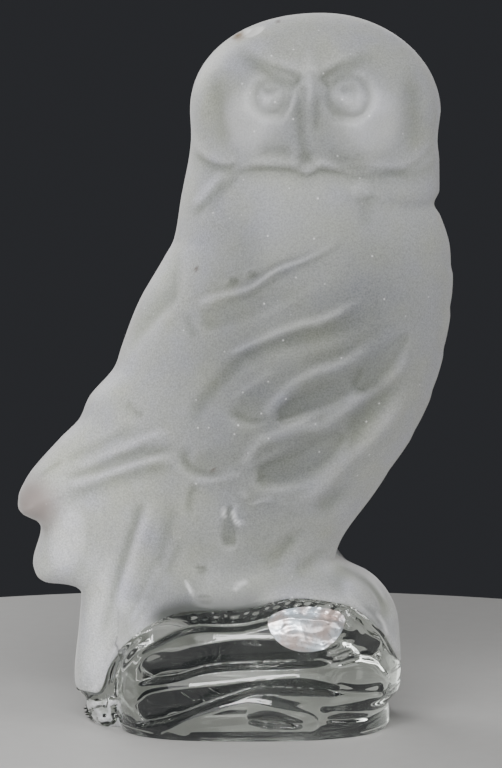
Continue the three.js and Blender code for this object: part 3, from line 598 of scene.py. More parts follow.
# %% Wing strokes
wing = [
    # Scapular feathers: a long pale edge from the shoulder down, over a broad shallow hollow
    ridge([[-12.6, 130.9], [-6.5, 134], [4.8, 137.5], [12.2, 142.6], [21.2, 146.1], [29.2, 150.5],
        [33.5, 157]], 1.3, 0.75, (0.15, 0.5)),
    gouge([[-8, 127.6], [4.8, 132.6], [16.7, 138], [28, 143.6]], 5.6, 0.5, 0.1),
    groove([[-14.7, 129.6], [-13.8, 125.2], [-11, 121.8]], 1.4, 0.35),
    # First row of coverts
    ridge([[-3.5, 115.3], [0.3, 118.4], [8.4, 122], [19.7, 126.2], [25.6, 127.4], [31.6, 130.1],
        [36.1, 132.7], [42, 136]], 1.3, 0.65, (0.2, 0.4)),
    groove([[2, 113.6], [8.4, 118], [16.7, 120.6], [25.1, 122.6], [33.1, 125.3], [41.2, 128.4],
        [48, 132.4]], 3, 0.45, (0.1, 0.4)),
    groove([[18, 115.3], [26.3, 116], [34.6, 118.6], [41.3, 122.6], [48, 128]], 2.4, 0.25),
    groove([[8.4, 118.4], [4.2, 116.9], [0.3, 114.2], [-3.5, 110.6], [-7.1, 106.6], [-10.7, 102.1],
        [-13.1, 97.5], [-15, 91.8]], 2.2, 0.75, (0.3, 0.3)),
    # A small covert with a curled rim
    gouge([[2, 100.4], [5.4, 102.5], [9.6, 104.6], [16, 109]], 4.8, 0.45, 0.1),
    groove([[-0.9, 102.6], [0.4, 98.2], [4.8, 97.3], [10, 98.4]], 1.3, 0.45),
    ridge([[-1.6, 102.8], [1.4, 106], [4.8, 108.2], [8.4, 110.3], [14, 113.4]], 1.3, 0.3),
    # Second row: two leaf-shaped hollows, one behind the other, under a pale edge
    ridge([[9.6, 98.6], [10.2, 101], [12.3, 103.4], [16.7, 107.6], [21.2, 110.3], [25.7, 112.4],
        [31.7, 114.2], [36.2, 116.8], [41.3, 121.2], [46, 123.8]], 1.6, 0.55, (0.1, 0.3)),
    gouge([[15.6, 99.8], [19.7, 102], [25.7, 104.6], [33.2, 108.2], [37, 111.8]], 5.2, 1.1),
    gouge([[38.6, 108.6], [41.4, 111.6], [45.3, 115.8], [50.5, 121.5]], 5.8, 0.9, 0.4),
    ridge([[43.8, 107.8], [47.2, 110.1], [50.4, 113], [52.5, 118.4]], 1.4, 0.3),
    # The large hollow in the middle of the wing, between two strong edges
    ridge([[1.8, 80.3], [4.2, 86.4], [7.2, 90.7], [12.3, 92.8], [16.8, 94.3], [21.3, 95.4],
        [26.4, 96], [29.1, 97.8], [33.3, 100.7], [36.3, 103.1], [39.3, 104.8], [43.2, 106.8]],
        1.9, 0.7, (0.1, 0.2)),
    gouge([[11, 81.4], [16.4, 82.8], [22, 85.6], [27.3, 89.2], [31, 92]], 7.6, 1.5, 0.4),
    groove([[30.6, 87.4], [35.5, 93.2], [38.5, 97.4], [41.5, 100.7], [45.4, 104], [49.1, 107.6],
        [53, 112.6]], 3.2, 1, (0.3, 0.5)),
    ridge([[8.4, 72.8], [19.9, 73.2], [25.9, 76.7], [30.4, 81.2], [35, 85.9], [39.5, 89.5],
        [42.5, 92.7], [45.6, 95.9], [48.6, 99.9], [51.6, 104.9], [54.6, 109.6]], 2.6, 0.75, (0.2, 0.3)),
    groove([[25.6, 67], [28.6, 70.8], [31.5, 73.5], [35.1, 76.4], [40.4, 82.6]], 3, 0.8, (0.3, 0.6)),
    # Feather tips low on the wing
    gouge([[-9.4, 85.2], [-2.7, 86.8], [5, 90.4]], 4.8, 0.4, 0.1),
    groove([[-15.4, 90], [-15.3, 85.1], [-13.2, 82.4], [-9, 81], [-1, 81.6]], 1.6, 0.75),
    ridge([[-14, 79], [-4.8, 79.6], [4, 82]], 1.4, 0.35),
    gouge([[-1.6, 60.4], [-1.8, 63], [-1.9, 67], [-1.6, 70.4]], 3.2, 1, 0.6),
    groove([[-11.8, 78.4], [-13.8, 73.5], [-14.5, 67.6]], 1.2, 0.4),
    groove([[19.3, 63], [14, 58], [8, 53.5]], 2, 0.35),
    # Pressing marks that glint beside the drop-shaped hollow
    ridge([[0.4, 72], [0.1, 69.3], [1.4, 66.6], [5, 65.9]], 0.7, 0.6, (0.15, 0.3)),
    ridge([[1.8, 76.4], [4, 73.4]], 0.7, 0.4),
    ridge([[5, 71.8], [8.4, 72.9], [12, 73.6]], 0.7, 0.35),
    # Primaries, drawn together to the tip of the wing
    groove([[-28.3, 95.6], [-37.5, 90.9], [-45.9, 86.4], [-53.6, 82.7]], 1.7, 0.45),
    groove([[-22.2, 90.4], [-31.4, 86.4], [-40.7, 83.6], [-47.9, 80], [-54, 77]], 1.8, 0.55),
    groove([[-15.8, 89], [-25.3, 87], [-32, 84.5], [-40.8, 80.8], [-51, 76]], 1.7, 0.65),
    groove([[-16, 82.8], [-25.3, 81.6], [-35.1, 78], [-44.1, 74.5], [-55, 71]], 2.8, 0.6),
    ridge([[-17, 94.3], [-25.2, 92.1], [-33.8, 87.9], [-43.3, 83], [-54, 78]], 1.4, 0.5),
    ridge([[-16.6, 86.4], [-25.3, 84.6], [-34.5, 81.6], [-44, 78.1], [-55, 74.2]], 1.4, 0.55),
    groove([[-61, 77.4], [-56.1, 81.1], [-52.4, 83.7]], 0.8, 0.35),
    # Small dents at the roots of the primaries
    groove([[-33.5, 98.6], [-31.7, 102.6]], 1.4, 0.35),
    groove([[-32, 99.6], [-27.4, 97.6]], 1.4, 0.4),
]
print("wing strokes:", len(wing))

# %% [markdown]
# ## Mantle, tail and legs
# The back of the owl is calmer: a crease at the shoulder, the edge of the folded wing, and the
# long feathers of the tail, which run down over the side of the rock. The legs only show as
# soft folds under the belly. A few small dips are marks of the pressing. The tools are the same
# as for the wing, and they mostly cut less deep.

# %% Mantle and tail strokes
mantle_and_tail = [
    # Shoulder, mantle and the soft dips over it
    ridge([[-3.2, 172.4], [-8, 166.8], [-13.6, 160.6]], 1.4, 0.4),
    groove([[-2.4, 170.9], [-6.3, 165.5], [-9.3, 161.8], [-13.3, 157.4]], 1.4, 0.7),
    groove([[0.8, 170.9], [-2.4, 167.6], [-5.4, 163.1], [-8.6, 158]], 1.3, 0.35),
    scoop(-0.6, 138.9, 2.6, 1.9, 20, 0.5),
    scoop(4.8, 141.2, 2.4, 1.6, 20, 0.35),
    groove([[41.2, 166], [40, 161], [39.4, 155]], 2.4, 0.3),
    boss(38.2, 166.5, 4, 3.4, 0, 0.3),
    # The folded wing stands over the back
    lip([[-14.6, 158], [-15.8, 148.1], [-17.2, 136.4], [-18.7, 132.2], [-22.9, 127.8], [-27.9, 121.8],
        [-34.5, 112.6]], 0.1, 1.3, 5, 7, 2.2, (0.5, 0.2)),
    # Tail feathers, running down to the rock
    groove([[-28.2, 72], [-29.4, 68.2], [-31.7, 61.6], [-33.8, 54.4], [-35.8, 48], [-37.5, 41.4],
        [-39.7, 31.8], [-42.3, 22.3]], 1.7, 0.6, (0.15, 0.2)),
    ridge([[-24.7, 74.7], [-27.6, 65.2], [-30.6, 55.1], [-34, 43.8], [-37.4, 33]], 1.9, 0.6),
    groove([[-19, 74.4], [-20.5, 65.6], [-22.1, 58.4], [-24.4, 50.5], [-27, 43.6], [-30.3, 36.6],
        [-34.5, 26.6]], 2.3, 0.55, (0.2, 0.2)),
    groove([[-16.6, 60.6], [-18.8, 54.2], [-21.4, 47.6]], 1.3, 0.35),
    ridge([[-22.4, 54.6], [-25, 47.8], [-29, 39.1], [-33.2, 31.4]], 1.2, 0.5),
    boss(-51.5, 58.5, 13, 7, 80, 0.8),
    boss(-42, 34, 22, 6, 80, 0.5),
    # Legs, and small hollows over the hem
    groove([[29.3, 57.9], [16.9, 48.9]], 1.8, 0.4),
    groove([[22, 66], [10, 50]], 1.9, 0.3),
    scoop(-10.3, 51.8, 2.8, 1.7, 0, 0.5),
    scoop(-9.1, 43.4, 3.4, 1.7, 0, 0.5),
    ridge([[-15, 48.8], [-12.4, 44.4]], 0.6, 0.4),
    ridge([[-0.6, 46], [2, 47.6], [4.8, 48.4]], 0.7, 0.4),
]
print("mantle and tail strokes:", len(mantle_and_tail))

# %% [markdown]
# ## The rock
# The rock is a stack of smooth ledges that run across, like water-worn slate. In clear glass each
# ledge is a lens: it bends the dark room and the pale table into bright and dark bands. The foot
# grips it at the breast side. Under the hem of the feathers the glass is crinkled like a rope. At
# the back the hem lies a little higher and the rock is plain, so light passes through it evenly.
# Cutting the ledges with booleans would leave hard seams, and hot glass has none.

# %% Hem and ledge lines
HEM = [
    [-46, 11.2], [-41.5, 11.6], [-38.8, 19], [-35.4, 24.1], [-30, 31], [-22.9, 35.5],
    [-12.4, 39.6], [3, 40.4], [17, 43.6], [30.5, 41.8], [37, 39.2], [44.7, 32.2], [48, 26.5],
    [51, 20.6],
]
BACK_RISE = 9  # how much higher the frost line lies at the back, away from both ends
BACK_HEM = [[x, z + BACK_RISE * float(ease((x + 40) / 14) * ease((50 - x) / 12))] for x, z in HEM]
hem, back_hem = [[lip(line, 0.8, 0.6, 5, 4, ends=(0.05, 0.05))] for line in (HEM, BACK_HEM)]
RIM = HEM[4:11]
UPPER_LEDGE = (
    [[-30, 20.4], [-26.8, 24.6], [-24, 26.8], [-20, 28.2], [-15.7, 28.9], [-3.9, 31], [4.2, 31.7],
        [18, 31.2], [25, 29.4], [30, 26.6]],
    [[-30, 17.4], [-26.5, 18.6], [-17.8, 20.3], [-8.1, 23.2], [4.2, 24.2], [22.3, 24.6], [30, 25.4]],
)
LOWER_LEDGE = (
    [[-31, 9.6], [-28.4, 11.4], [-24.9, 14.4], [-16.3, 16.5], [-3.6, 18], [4.5, 19], [11.1, 19.6],
        [20.2, 20], [27, 18.6], [32, 16.4]],
    [[-31, 4.6], [-25.6, 5.4], [-18, 7.8], [-10.3, 11.1], [-2.7, 14], [6.9, 16.9], [16.9, 16.6],
        [26, 15.8], [32, 15.2]],
)


def raised(line, lift):
    return [[x, z + lift] for x, z in line]


print("highest point of the hem, mm:", max(z for x, z in HEM))

# %% Rock strokes
rock = [
    # The crinkled hollow under the hem
    ledge(RIM, raised(RIM, -4.6), 0.3, 3, 2.4),
    *[
        boss(x + 0.8 * math.sin(7 * x), np.interp(x, *smooth_line(RIM).T) - 2.3 + 0.8 * math.cos(5 * x),
            1.5 + 0.6 * math.sin(3 * x), 0.9, 60 + 30 * math.cos(4 * x), 0.8)
        for x in np.arange(-14, 36, 2.1)
    ],
    # Two ledges with broad faces, and the low mound at the foot of the rock
    ledge(*UPPER_LEDGE, 0.9, 3.4),
    ledge(*LOWER_LEDGE, 1.1, 2.8),
    lip([[46, 12.6], [37.5, 13.8], [28, 14.8], [16.9, 15.4]], 0, 0.6, 3, 3, 1, (0.1, 0.5)),
    ledge([[-23, 2.4], [-20.3, 3.4], [-13.3, 7.2], [-5.8, 9.6], [1.2, 12], [7.2, 12.4], [16.9, 9.9],
        [22.9, 8.1], [27, 4]], [[-23, 0.5], [27, 0.5]], 1.2, -0.4),
    ledge([[4.5, 8.2], [8, 10], [12.3, 9.8], [16, 8.3], [21, 6.2]],
        [[4.5, 7.4], [8, 6.4], [12, 5.9], [16, 5.8], [21, 5.6]], 0.5, 1.9, 1.6, (1, 4)),
    ledge([[28, 7.3], [33, 8], [41.7, 6.8]], [[28, 6.4], [33, 5.8], [41.7, 5.6]], 0.3, 0.7, 1, (1.5, 2)),
    # Foot and toes gripping the rock at the breast side, with a dark pocket behind them
    groove([[28, 52], [37.8, 47.6], [44.1, 42.6], [47.7, 34]], 1.8, 1.2),
    boss(38.5, 42.5, 9, 4.5, -45, 1.6),
    ledge([[31, 36.4], [35.7, 36.6], [38.4, 35], [41, 31.6], [46, 28.6]],
        [[31, 32], [34, 30.6], [37, 29], [40, 25.8], [46, 24.4]], 0.4, 2.4, 2.6, (2, 2)),
    boss(37.5, 19.4, 12, 6.4, -12, 0.8),
    groove([[26.5, 25.6], [31.4, 24], [37.5, 24.8], [42.8, 24.4], [45.6, 21.2], [48.5, 15.6]], 1, 0.9),
    ridge([[26.5, 27], [31.4, 25.4], [37.5, 26.4], [42.8, 26.2]], 0.9, 0.6),
    *[
        boss(x, z, length, 0.8, degrees, 0.9)
        for x, z, length, degrees in (
            [24, 25.8, 2.4, 60], [26.4, 28.2, 2.6, 40], [28.6, 26.2, 2.8, 55], [29.8, 29.4, 2.6, 30],
            [32, 27.4, 2.8, 20], [33.2, 31, 2, 50], [31.4, 24.9, 2.4, 15], [35.2, 28.6, 2.6, 35],
            [36.4, 26.2, 2.2, 10],
        )
    ],
    # Pulled stripes where the tail meets the rock, and the uneven foot under the tail
    *[ridge([[x, 12], [x + 1, 18], [x + 4, 25], [x + 9, 31]], 0.8, 1) for x in (-40.6, -38.4, -36.2)],
    *[boss(x, z, 2.4, 1.5, 30, 0.9) for x, z in ([-43, 7.4], [-38.6, 8], [-40.6, 2.6])],
    *[scoop(x, z, 2.2, 1.5, -20, 0.8) for x, z in ([-40.8, 5.4], [-36.6, 4.8], [-44.4, 4])],
]
back_of_rock = [
    # The front leans in towards its foot and its top, but the back stands upright
    ridge([[-60, 0], [60, 0]], 7, 3, (0.05, 0.05)),
    boss(4, 44, 44, 10, 0, 2.2),
    # Fainter copies of the ledges, a little higher, as light rises on its way through the glass
    *[ledge(raised(edge, 3), raised(foot, 3), 0.5, 0.8) for edge, foot in (UPPER_LEDGE, LOWER_LEDGE)],
]
print("rock strokes:", len(rock) + len(back_of_rock))

# %% [markdown]
# ## The breast
# Between the wings the breast shows at the side. It has the front edge of each wing and rows of
# feather tips, which a loop can lay: each row is the same scallop, lower and a little narrower.

# %% Breast strokes, in [depth, height]
ROW_SPACING = 13
ROW_NARROWING = 1.2
breast = [
    groove([[side * 20, 156], [side * 22, 130], [side * 19, 100], [side * 14, 72]], 2.6, 1.5)
    for side in (-1, 1)
]
for row in range(6):
    z = 148 - ROW_SPACING * row
    reach = 17 - ROW_NARROWING * row
    tips = [[reach, z], [reach / 2, z - 5], [0, z - 7], [-reach / 2, z - 5], [-reach, z]]
    breast.append(lip(tips, 0.2, 0.4, 5, 4, 1.6))
print("breast strokes:", len(breast))

# %% [markdown]
# ## The skin
# A net of rings and columns is wrapped round the form and carved. It has more columns in front
# than behind. One ring runs along the frost line, where the acid stopped, so that the two
# finishes meet on a clean edge and need no painted mask. Over the cheeks the rings follow a
# quarter circle, so they close up evenly to the crown. Subdividing the solid model would be
# simpler, but its triangles don't run along the frost line or the feathers.

# %% Rings and columns
BACK_COLUMNS = 70
FRONT_COLUMNS = 180
ROCK_ROWS = 108
BODY_ROWS = 228
DOME_ROWS = 52
LAST_RING = 0.985  # of the quarter circle over the head; a fan closes the rest

turns = np.concatenate([
    np.linspace(0, 0.5, BACK_COLUMNS, endpoint=False),
    np.linspace(0.5, 1, FRONT_COLUMNS, endpoint=False),
])
# Where a column stands depends on its height, so the frost line is found in a few rounds.
frost_z = np.full(turns.shape, 25.0)
for _ in range(8):
    x = plain_point(turns, frost_z)[0]
    behind, front = [np.interp(x, *smooth_line(line).T) for line in (BACK_HEM, HEM)]
    frost_z = np.where(turns < 0.5, behind, front)

rock_rows = np.linspace(0, 1, ROCK_ROWS, endpoint=False)[:, None] * frost_z
# The rings lie closer together where the lowest wing tip ends, because its edge is level there.
crowded = np.interp(np.linspace(0, 1, BODY_ROWS, endpoint=False), [0, 0.135, 0.26, 1], [0, 0.17, 0.2, 1])
body_rows = frost_z + crowded[:, None] * (DOME_FROM - frost_z)
dome_angles = np.linspace(0, LAST_RING * math.pi / 2, DOME_ROWS)[:, None]
dome_rows = DOME_FROM + (HEIGHT - DOME_FROM) * np.sin(dome_angles) + 0 * frost_z
z = np.vstack([rock_rows, body_rows, dome_rows])
turn = np.broadcast_to(turns, z.shape)
print("rings and columns:", z.shape)


# %% Carve the skin
FOOT = 1.2  # the front strokes fade out over this height, so the underside stays plain
SIDEWAYS = 0.35  # and they fade where the skin faces the front or the back less than this


def way_out(turn, z, step=0.004):
    """The level direction square to the plain section."""
    before_x, before_y = plain_point((turn - step) % 1, z)
    after_x, after_y = plain_point((turn + step) % 1, z)
    out_x, out_y = after_y - before_y, before_x - after_x
    length = np.hypot(out_x, out_y)
    return out_x / length, out_y / length


def relief(x, y, z, facing):
    """Relief at a point of the plain form. The wings are alike on both sides, the face and the
    ledges are only in front, and the strokes fade out where the skin turns to the side."""
    flank = height_of(wing + mantle_and_tail, x, z)
    front = height_of(face + hem + rock, x, z) * ease(z / FOOT)
    behind = height_of(back_hem + back_of_rock, x, z)
    flank = flank + np.where(facing < 0, front, behind)
    side = np.where(x > 0, height_of(breast, y, z), 0)
    share = np.clip(np.abs(facing) / SIDEWAYS, 0, 1)
    return flank * share + side * (1 - share)


plain_x, plain_y = plain_point(turn, z)
out_x, out_y = way_out(turn, z)
carving = relief(plain_x, plain_y, z, out_y)
skin = np.stack([plain_x + out_x * carving, plain_y + out_y * carving, z], axis=-1)
print("carved from", round(float(carving.min()), 2), "to", round(float(carving.max()), 2), "mm")


# %% [markdown]
# ## A chip
# Two small flakes have broken off the head. Glass breaks in shells, so each cut is a ball: the
# points of the skin that lie inside it are pushed out to its surface. A boolean would cut the
# same shell, but it would break up the even net.

# %% Chip the head
HEAD_MIDDLE = np.array([CROWN_X, 0, DOME_FROM])
CHIP_RADIUS = 8
in_front = skin[..., 1] < 0
chipped = np.zeros(z.shape)
for chip_x, chip_z, chip_depth in ([3.4, 214, 0.9], [7.4, 214.6, 0.6]):
    away = np.hypot(skin[..., 0] - chip_x, skin[..., 2] - chip_z)
    place = skin.reshape(-1, 3)[np.argmin(np.where(in_front, away, np.inf))]
    outward = (place - HEAD_MIDDLE) / np.linalg.norm(place - HEAD_MIDDLE)
    ray = skin - place - outward * (CHIP_RADIUS - chip_depth)
    distance = np.linalg.norm(ray, axis=-1, keepdims=True)
    skin = skin + ray / distance * np.maximum(CHIP_RADIUS - distance, 0)
    chipped = np.maximum(chipped, distance[..., 0] < CHIP_RADIUS)
print("points in the chip:", int(chipped.sum()))


# %% [markdown]
# ## From points to a mesh
# The rings become four-sided faces, and a fan closes each end: the ground underside and the
# crown. Everything is shaded smooth but the sharp rim of the underside. Faces below the frost
# ring get the polished finish and the rest the frosted one.


# %% Mesh helper
def mesh_object(name, points, faces):
    """A smooth-shaded object from points in millimetres."""
    mesh = bpy.data.meshes.new(name)
    mesh.from_pydata(points * MM, [], faces)
    mesh.shade_smooth()
    piece = bpy.data.objects.new(name, mesh)
    bpy.context.collection.objects.link(piece)
    print(name, "faces:", len(faces))
    return piece


# %% Build the owl
FOOT_MIDDLE_X = 2
SHARP_RIM = 60

rows, columns = z.shape
corner = np.arange(rows * columns).reshape(rows, columns)
beside = np.roll(corner, -1, axis=1)
walls = np.stack([corner[:-1], beside[:-1], beside[1:], corner[1:]], axis=-1).reshape(-1, 4)
under, crown = rows * columns, rows * columns + 1
fans = [[under, b, a] for a, b in zip(corner[0], beside[0])]
fans += [[crown, a, b] for a, b in zip(corner[-1], beside[-1])]
ends = np.array([[FOOT_MIDDLE_X, 0, 0], [CROWN_X, 0, HEIGHT]])
owl = mesh_object("crystal_owl", np.vstack([skin.reshape(-1, 3), ends]), walls.tolist() + fans)
owl.data.set_sharp_from_angle(angle=math.radians(SHARP_RIM))
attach(owl, "root")
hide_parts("owl")
print("four-sided faces and fans:", len(walls), len(fans))

# %% [markdown]
# ## Acid-frosted crystal
# Acid eats tiny pits into the glass. The pits scatter light at the surface, and the clear glass
# behind carries it on, so the bird looks milky: soft shading, no sharp highlight, pale edges and
# slightly grey-green hollows. Scattering every ray for real is slow. We mix rough transmission
# with a little light under the skin, and add the fine grain of the pits.
#
# The carving is also painted into the colour as light and shade: ridges paler, hollows darker and
# grey-green, and the eye reads that more than the real shading. Thin glass is painted lighter and
# thick glass darker, for light that would pass through it. So two numbers are kept on the mesh:
# how far a point stands over its surroundings, and how deep the glass is.

# %% Relief and depth kept on the mesh
BROAD_TONE, FINE_TONE = 0.45, 0.9
NEIGHBOUR_ROUNDS = 16


def keep_on_owl(name, values):
    """Store one number for each point of the net. The middles of the two fans get 0."""
    attribute = owl.data.attributes.new(name, "FLOAT", "POINT")
    attribute.data.foreach_set("value", np.append(values.ravel(), [0, 0]).astype(np.float32))


def smoothed(values, passes):
    """The values of the net, each averaged with its neighbours a number of times."""
    for _ in range(passes):
        across = (np.roll(values, 1, axis=1) + values + np.roll(values, -1, axis=1)) / 3
        padded = np.pad(across, ((1, 1), (0, 0)), mode="edge")
        values = (padded[:-2] + padded[1:-1] + padded[2:]) / 3
    return values


# How far a point stands over its surroundings. The finish uses it for painted light and shade: ridges
# paler, hollows darker
over_neighbours = carving - smoothed(carving, NEIGHBOUR_ROUNDS)
painted_relief_shading = BROAD_TONE * carving + FINE_TONE * over_neighbours
keep_on_owl("painted_relief_shading", painted_relief_shading)
keep_on_owl("glass_depth", np.abs(plain_y))
print("stands out from", round(float(painted_relief_shading.min()), 2), "to", round(float(painted_relief_shading.max()), 2))

# %% [markdown]
# ## Wear, uneven frost, and painted light and shade
# The acid didn't bite evenly, and the owl has been handled. The cheeks get painted light, and the
# wing tip is darker and pinkish. On the left of the front the frost thins out towards its hem, and
# on the foot it is thin in streaks: there the dark that would show through is painted on as dark
# colour. Bare spots get painted white glint marks, the chip is white inside with a brown stain
# beside it, and there are a few dark specks. Each mark is a number from 0 to 1 on the points of the
# mesh, and the material gives it a colour. Painted images would do it too, but then the marks
# wouldn't be tied to the shape.

# %% Marks, and painted light and shade, kept on the mesh
THIN_FROST_HEIGHT = 5.5
PAINTED_CHEEK_LIGHT = 0.28
PAINTED_GLINT_STRENGTH = 0.7
# Strengths of the painted dark on the foot and in its streaks
THIN_ON_FOOT, THIN_STREAKS = 0.3, 0.35


def near(x, z, radius):
    """1 at a point of the front, falling to 0 at a radius."""
    away = np.linalg.norm(skin[..., ::2] - [x, z], axis=-1)
    return np.where(in_front, ease(1.4 * (1 - away / radius)), 0)


stain = near(1.2, 213, 2.8)
specks = sum(near(*place) for place in ([13.3, 217, 0.9], [-11.4, 142.5, 0.9], [-6.2, 82.4, 0.9]))
# Painted highlights: white glint marks along these lines
glint_lines = (
    [[-2.9, 71.6], [-3.2, 69.4], [-2.6, 67.4]],
    [[-0.3, 71.2], [-0.2, 68.8], [0.6, 66.8], [2.4, 65.8]],
    [[-15, 48.8], [-12.4, 44.4]],
    [[-0.6, 46], [2, 47.6], [4.8, 48.4]],
    [[33, 51.6], [39, 48.4], [44, 44], [47.4, 38.4]],
    [[42.6, 38.6], [45.6, 34.4], [47, 29.8]],
)
# Painted dark streaks along these lines on the foot, for the dark that would show through
bare_lines = (
    [[29, 51], [37, 48], [43, 43.4], [46.6, 37]],
    [[38, 41.6], [43, 37.4], [46, 31]],
)
painted_glints, streaks = [
    height_of([ridge(line, width, 1) for line in lines], skin[..., 0], skin[..., 2]) * in_front
    for lines, width in ((glint_lines, 0.5), (bare_lines, 0.9))
]
# Painted dark over the hem on the left of the front, standing in for the dark room seen through thin frost
over_hem = (z - frost_z) / THIN_FROST_HEIGHT
on_the_left = ease((skin[..., 0] + 30) / 8) * ease((12 - skin[..., 0]) / 8)
thin_frost_painted_dark = in_front * ease(1.2 - over_hem) * on_the_left
thin_frost_painted_dark = np.maximum(thin_frost_painted_dark, THIN_ON_FOOT * near(41, 38, 13) + THIN_STREAKS * streaks)
# Painted light: the cheeks are coloured paler, as if they caught more light
cheeks = np.maximum(near(5, 187, 15), near(41, 187, 16))
masks = {
    "cheeks": PAINTED_CHEEK_LIGHT * cheeks,
    "darker_pink_tip": near(-63, 69, 13),
    "thin_frost_painted_dark": thin_frost_painted_dark,
    "chipped": chipped,
    "painted_glints": PAINTED_GLINT_STRENGTH * painted_glints,
    "stain": stain,
    "specks": specks,
}
for name, mask in masks.items():
    keep_on_owl(name, mask)
print("marks and the points they touch:", {name: int((mask > 0).sum()) for name, mask in masks.items()})

# %% Acid-frosted finish
# Plain glass and crystal bend light by 1.5 to 1.56.
CRYSTAL_IOR = 1.52
# Acid pits are a few hundredths of a millimetre, so the grain is drawn coarser, to show at all.
PIT_GRAIN = 0.5
PIT_DEPTH = 0.05
SPARKLE_SPACING = 5.2
CLOUDS = 16
LIGHT_UNDER_SKIN = 9
# Colours of the marks. The cheek, thin frost and glint entries are painted light and shade
MARK_AND_PAINTED_LIGHT_COLOURS = {
    "cheeks": "#f4f4f6",
    "darker_pink_tip": "#b3a8a4",
    "thin_frost_painted_dark": "#5d605e",
    "chipped": "#eeeeea",
    "painted_glints": "#ffffff",
    "stain": "#9c8870",
    "specks": "#6f625c",
}


def acid_frosted_crystal():
    """Milky, even and soft, with a fine grain: painted light on the ridges and painted grey-green shade in
    the hollows.
    """
    material, tree = new_material("acid_frosted_crystal")
    spot = add(tree, "TexCoord", {}, "Object")
    standing = add(tree, "Attribute", {}, "Fac", attribute_name="painted_relief_shading")
    depth = add(tree, "Attribute", {}, "Fac", attribute_name="glass_depth")
    cloud = add(tree, "TexNoise", {"Vector": spot, "Scale": 1 / (CLOUDS * MM), "Detail": 3}, "Fac")
    grain = add(tree, "TexNoise", {"Vector": spot, "Scale": 1 / (PIT_GRAIN * MM), "Detail": 3}, "Fac")
    grains = {"Value": grain, "From Min": 0.3, "From Max": 0.7, "To Min": 0.7, "To Max": 1.18}
    colour = add(tree, "MapRange", grains, "Result")
    # Three layers tone it. Each follows a value over a range, from one tone to another.
    for value, low, high, low_tone, high_tone in (
        # Painted light and shade from the carving: paler ridges, darker grey-green hollows
        (standing, -0.5, 0.7, "#cacdc6", "#fbfbff"),
        # Painted shade where the glass is thick, and painted light where it is thin, as if lit through
        (depth, 11, 33, "#ffffff", "#a0a2a0"),
        (cloud, 0.3, 0.7, "#fafaf0", "#f5f5ff"),
    ):
        share = add(tree, "MapRange", {"Value": value, "From Min": low, "From Max": high}, "Result")
        tones = {"Factor": share, "A": linear(low_tone), "B": linear(high_tone)}
        layer = add(tree, "Mix", tones, "Result", data_type="RGBA")
        feeds = {"Factor": 1, "A": colour, "B": layer}
        colour = add(tree, "Mix", feeds, "Result", data_type="RGBA", blend_type="MULTIPLY")
    # Painted sparkle highlights: sparse white dots mixed into the colour
    dots = {"Vector": spot, "Scale": 1 / (SPARKLE_SPACING * MM)}
    dot = add(tree, "TexVoronoi", dots, "Distance")
    near_dot = {"Value": dot, "From Min": 0.08, "From Max": 0.03, "To Max": 0.7}
    lights = add(tree, "MapRange", near_dot, "Result")
    layers = [
        (add(tree, "Attribute", {}, "Fac", attribute_name=name), MARK_AND_PAINTED_LIGHT_COLOURS[name]) for name in masks
    ]
    for share, hue in [*layers, (lights, "#ffffff")]:
        feeds = {"Factor": share, "A": colour, "B": linear(hue)}
        colour = add(tree, "Mix", feeds, "Result", data_type="RGBA")
    # Painted light on thin edges: paler and warmer, as if light passed through them
    edges = {"Value": depth, "From Min": 9, "From Max": 1, "To Max": 0.5}
    thin_edges = add(tree, "MapRange", edges, "Result")
    painted_thin_edge_light = {"Factor": thin_edges, "A": colour, "B": linear("#e4dfdb")}
    colour = add(tree, "Mix", painted_thin_edge_light, "Result", data_type="RGBA")
    pits = {"Height": grain, "Strength": 0.25, "Distance": PIT_DEPTH * MM}
    glass = {
        "Base Color": colour,
        "Roughness": 0.5,
        "IOR": CRYSTAL_IOR,
        "Transmission Weight": 0.35,
        "Subsurface Weight": 1,
        "Subsurface Radius": (1, 1, 1),
        "Subsurface Scale": LIGHT_UNDER_SKIN * MM,
        "Sheen Weight": 0.4,
        "Sheen Roughness": 0.4,
        "Normal": add(tree, "Bump", pits, "Normal"),
    }
    add(tree, "OutputMaterial", {"Surface": add(tree, "BsdfPrincipled", glass, "BSDF")})
    return material


frosted = acid_frosted_crystal()
print("nodes in the frosted finish:", len(frosted.node_tree.nodes))

# %% [markdown]
# ## Polished crystal
# The rock came out of the mould bright and was kept from the acid. It is plain clear glass, with
# full transmission and almost no roughness, so its whole look comes from its ledges. The tint
# could be a volume inside, but a tinted surface is quicker and looks much the same here. Under
# the tail the real foot is rough and white in patches, which a noise lays over the faces.


# %% Polished finish
def polished_crystal():
    """Clear and bright, with a hint of grey-green where the glass is thick."""
    material, tree = new_material("polished_crystal")
    glass = {
        "Base Color": linear("#e2e7df"),
        "Roughness": 0.02,
        "IOR": CRYSTAL_IOR,
        "Transmission Weight": 1,
    }
    add(tree, "OutputMaterial", {"Surface": add(tree, "BsdfPrincipled", glass, "BSDF")})
    return material


FROSTED, POLISHED = 0, 1
# The patches are about this wide, and the noise is white over this level. The top quarter of the
# rock's rows, next to the frost line, has none.
PATCH = 2.4
PATCHES_OVER = -0.12
PATCHES_LEFT_OF, PATCHES_BELOW = -35, 8.4
PATCHED_SHARE = 0.75

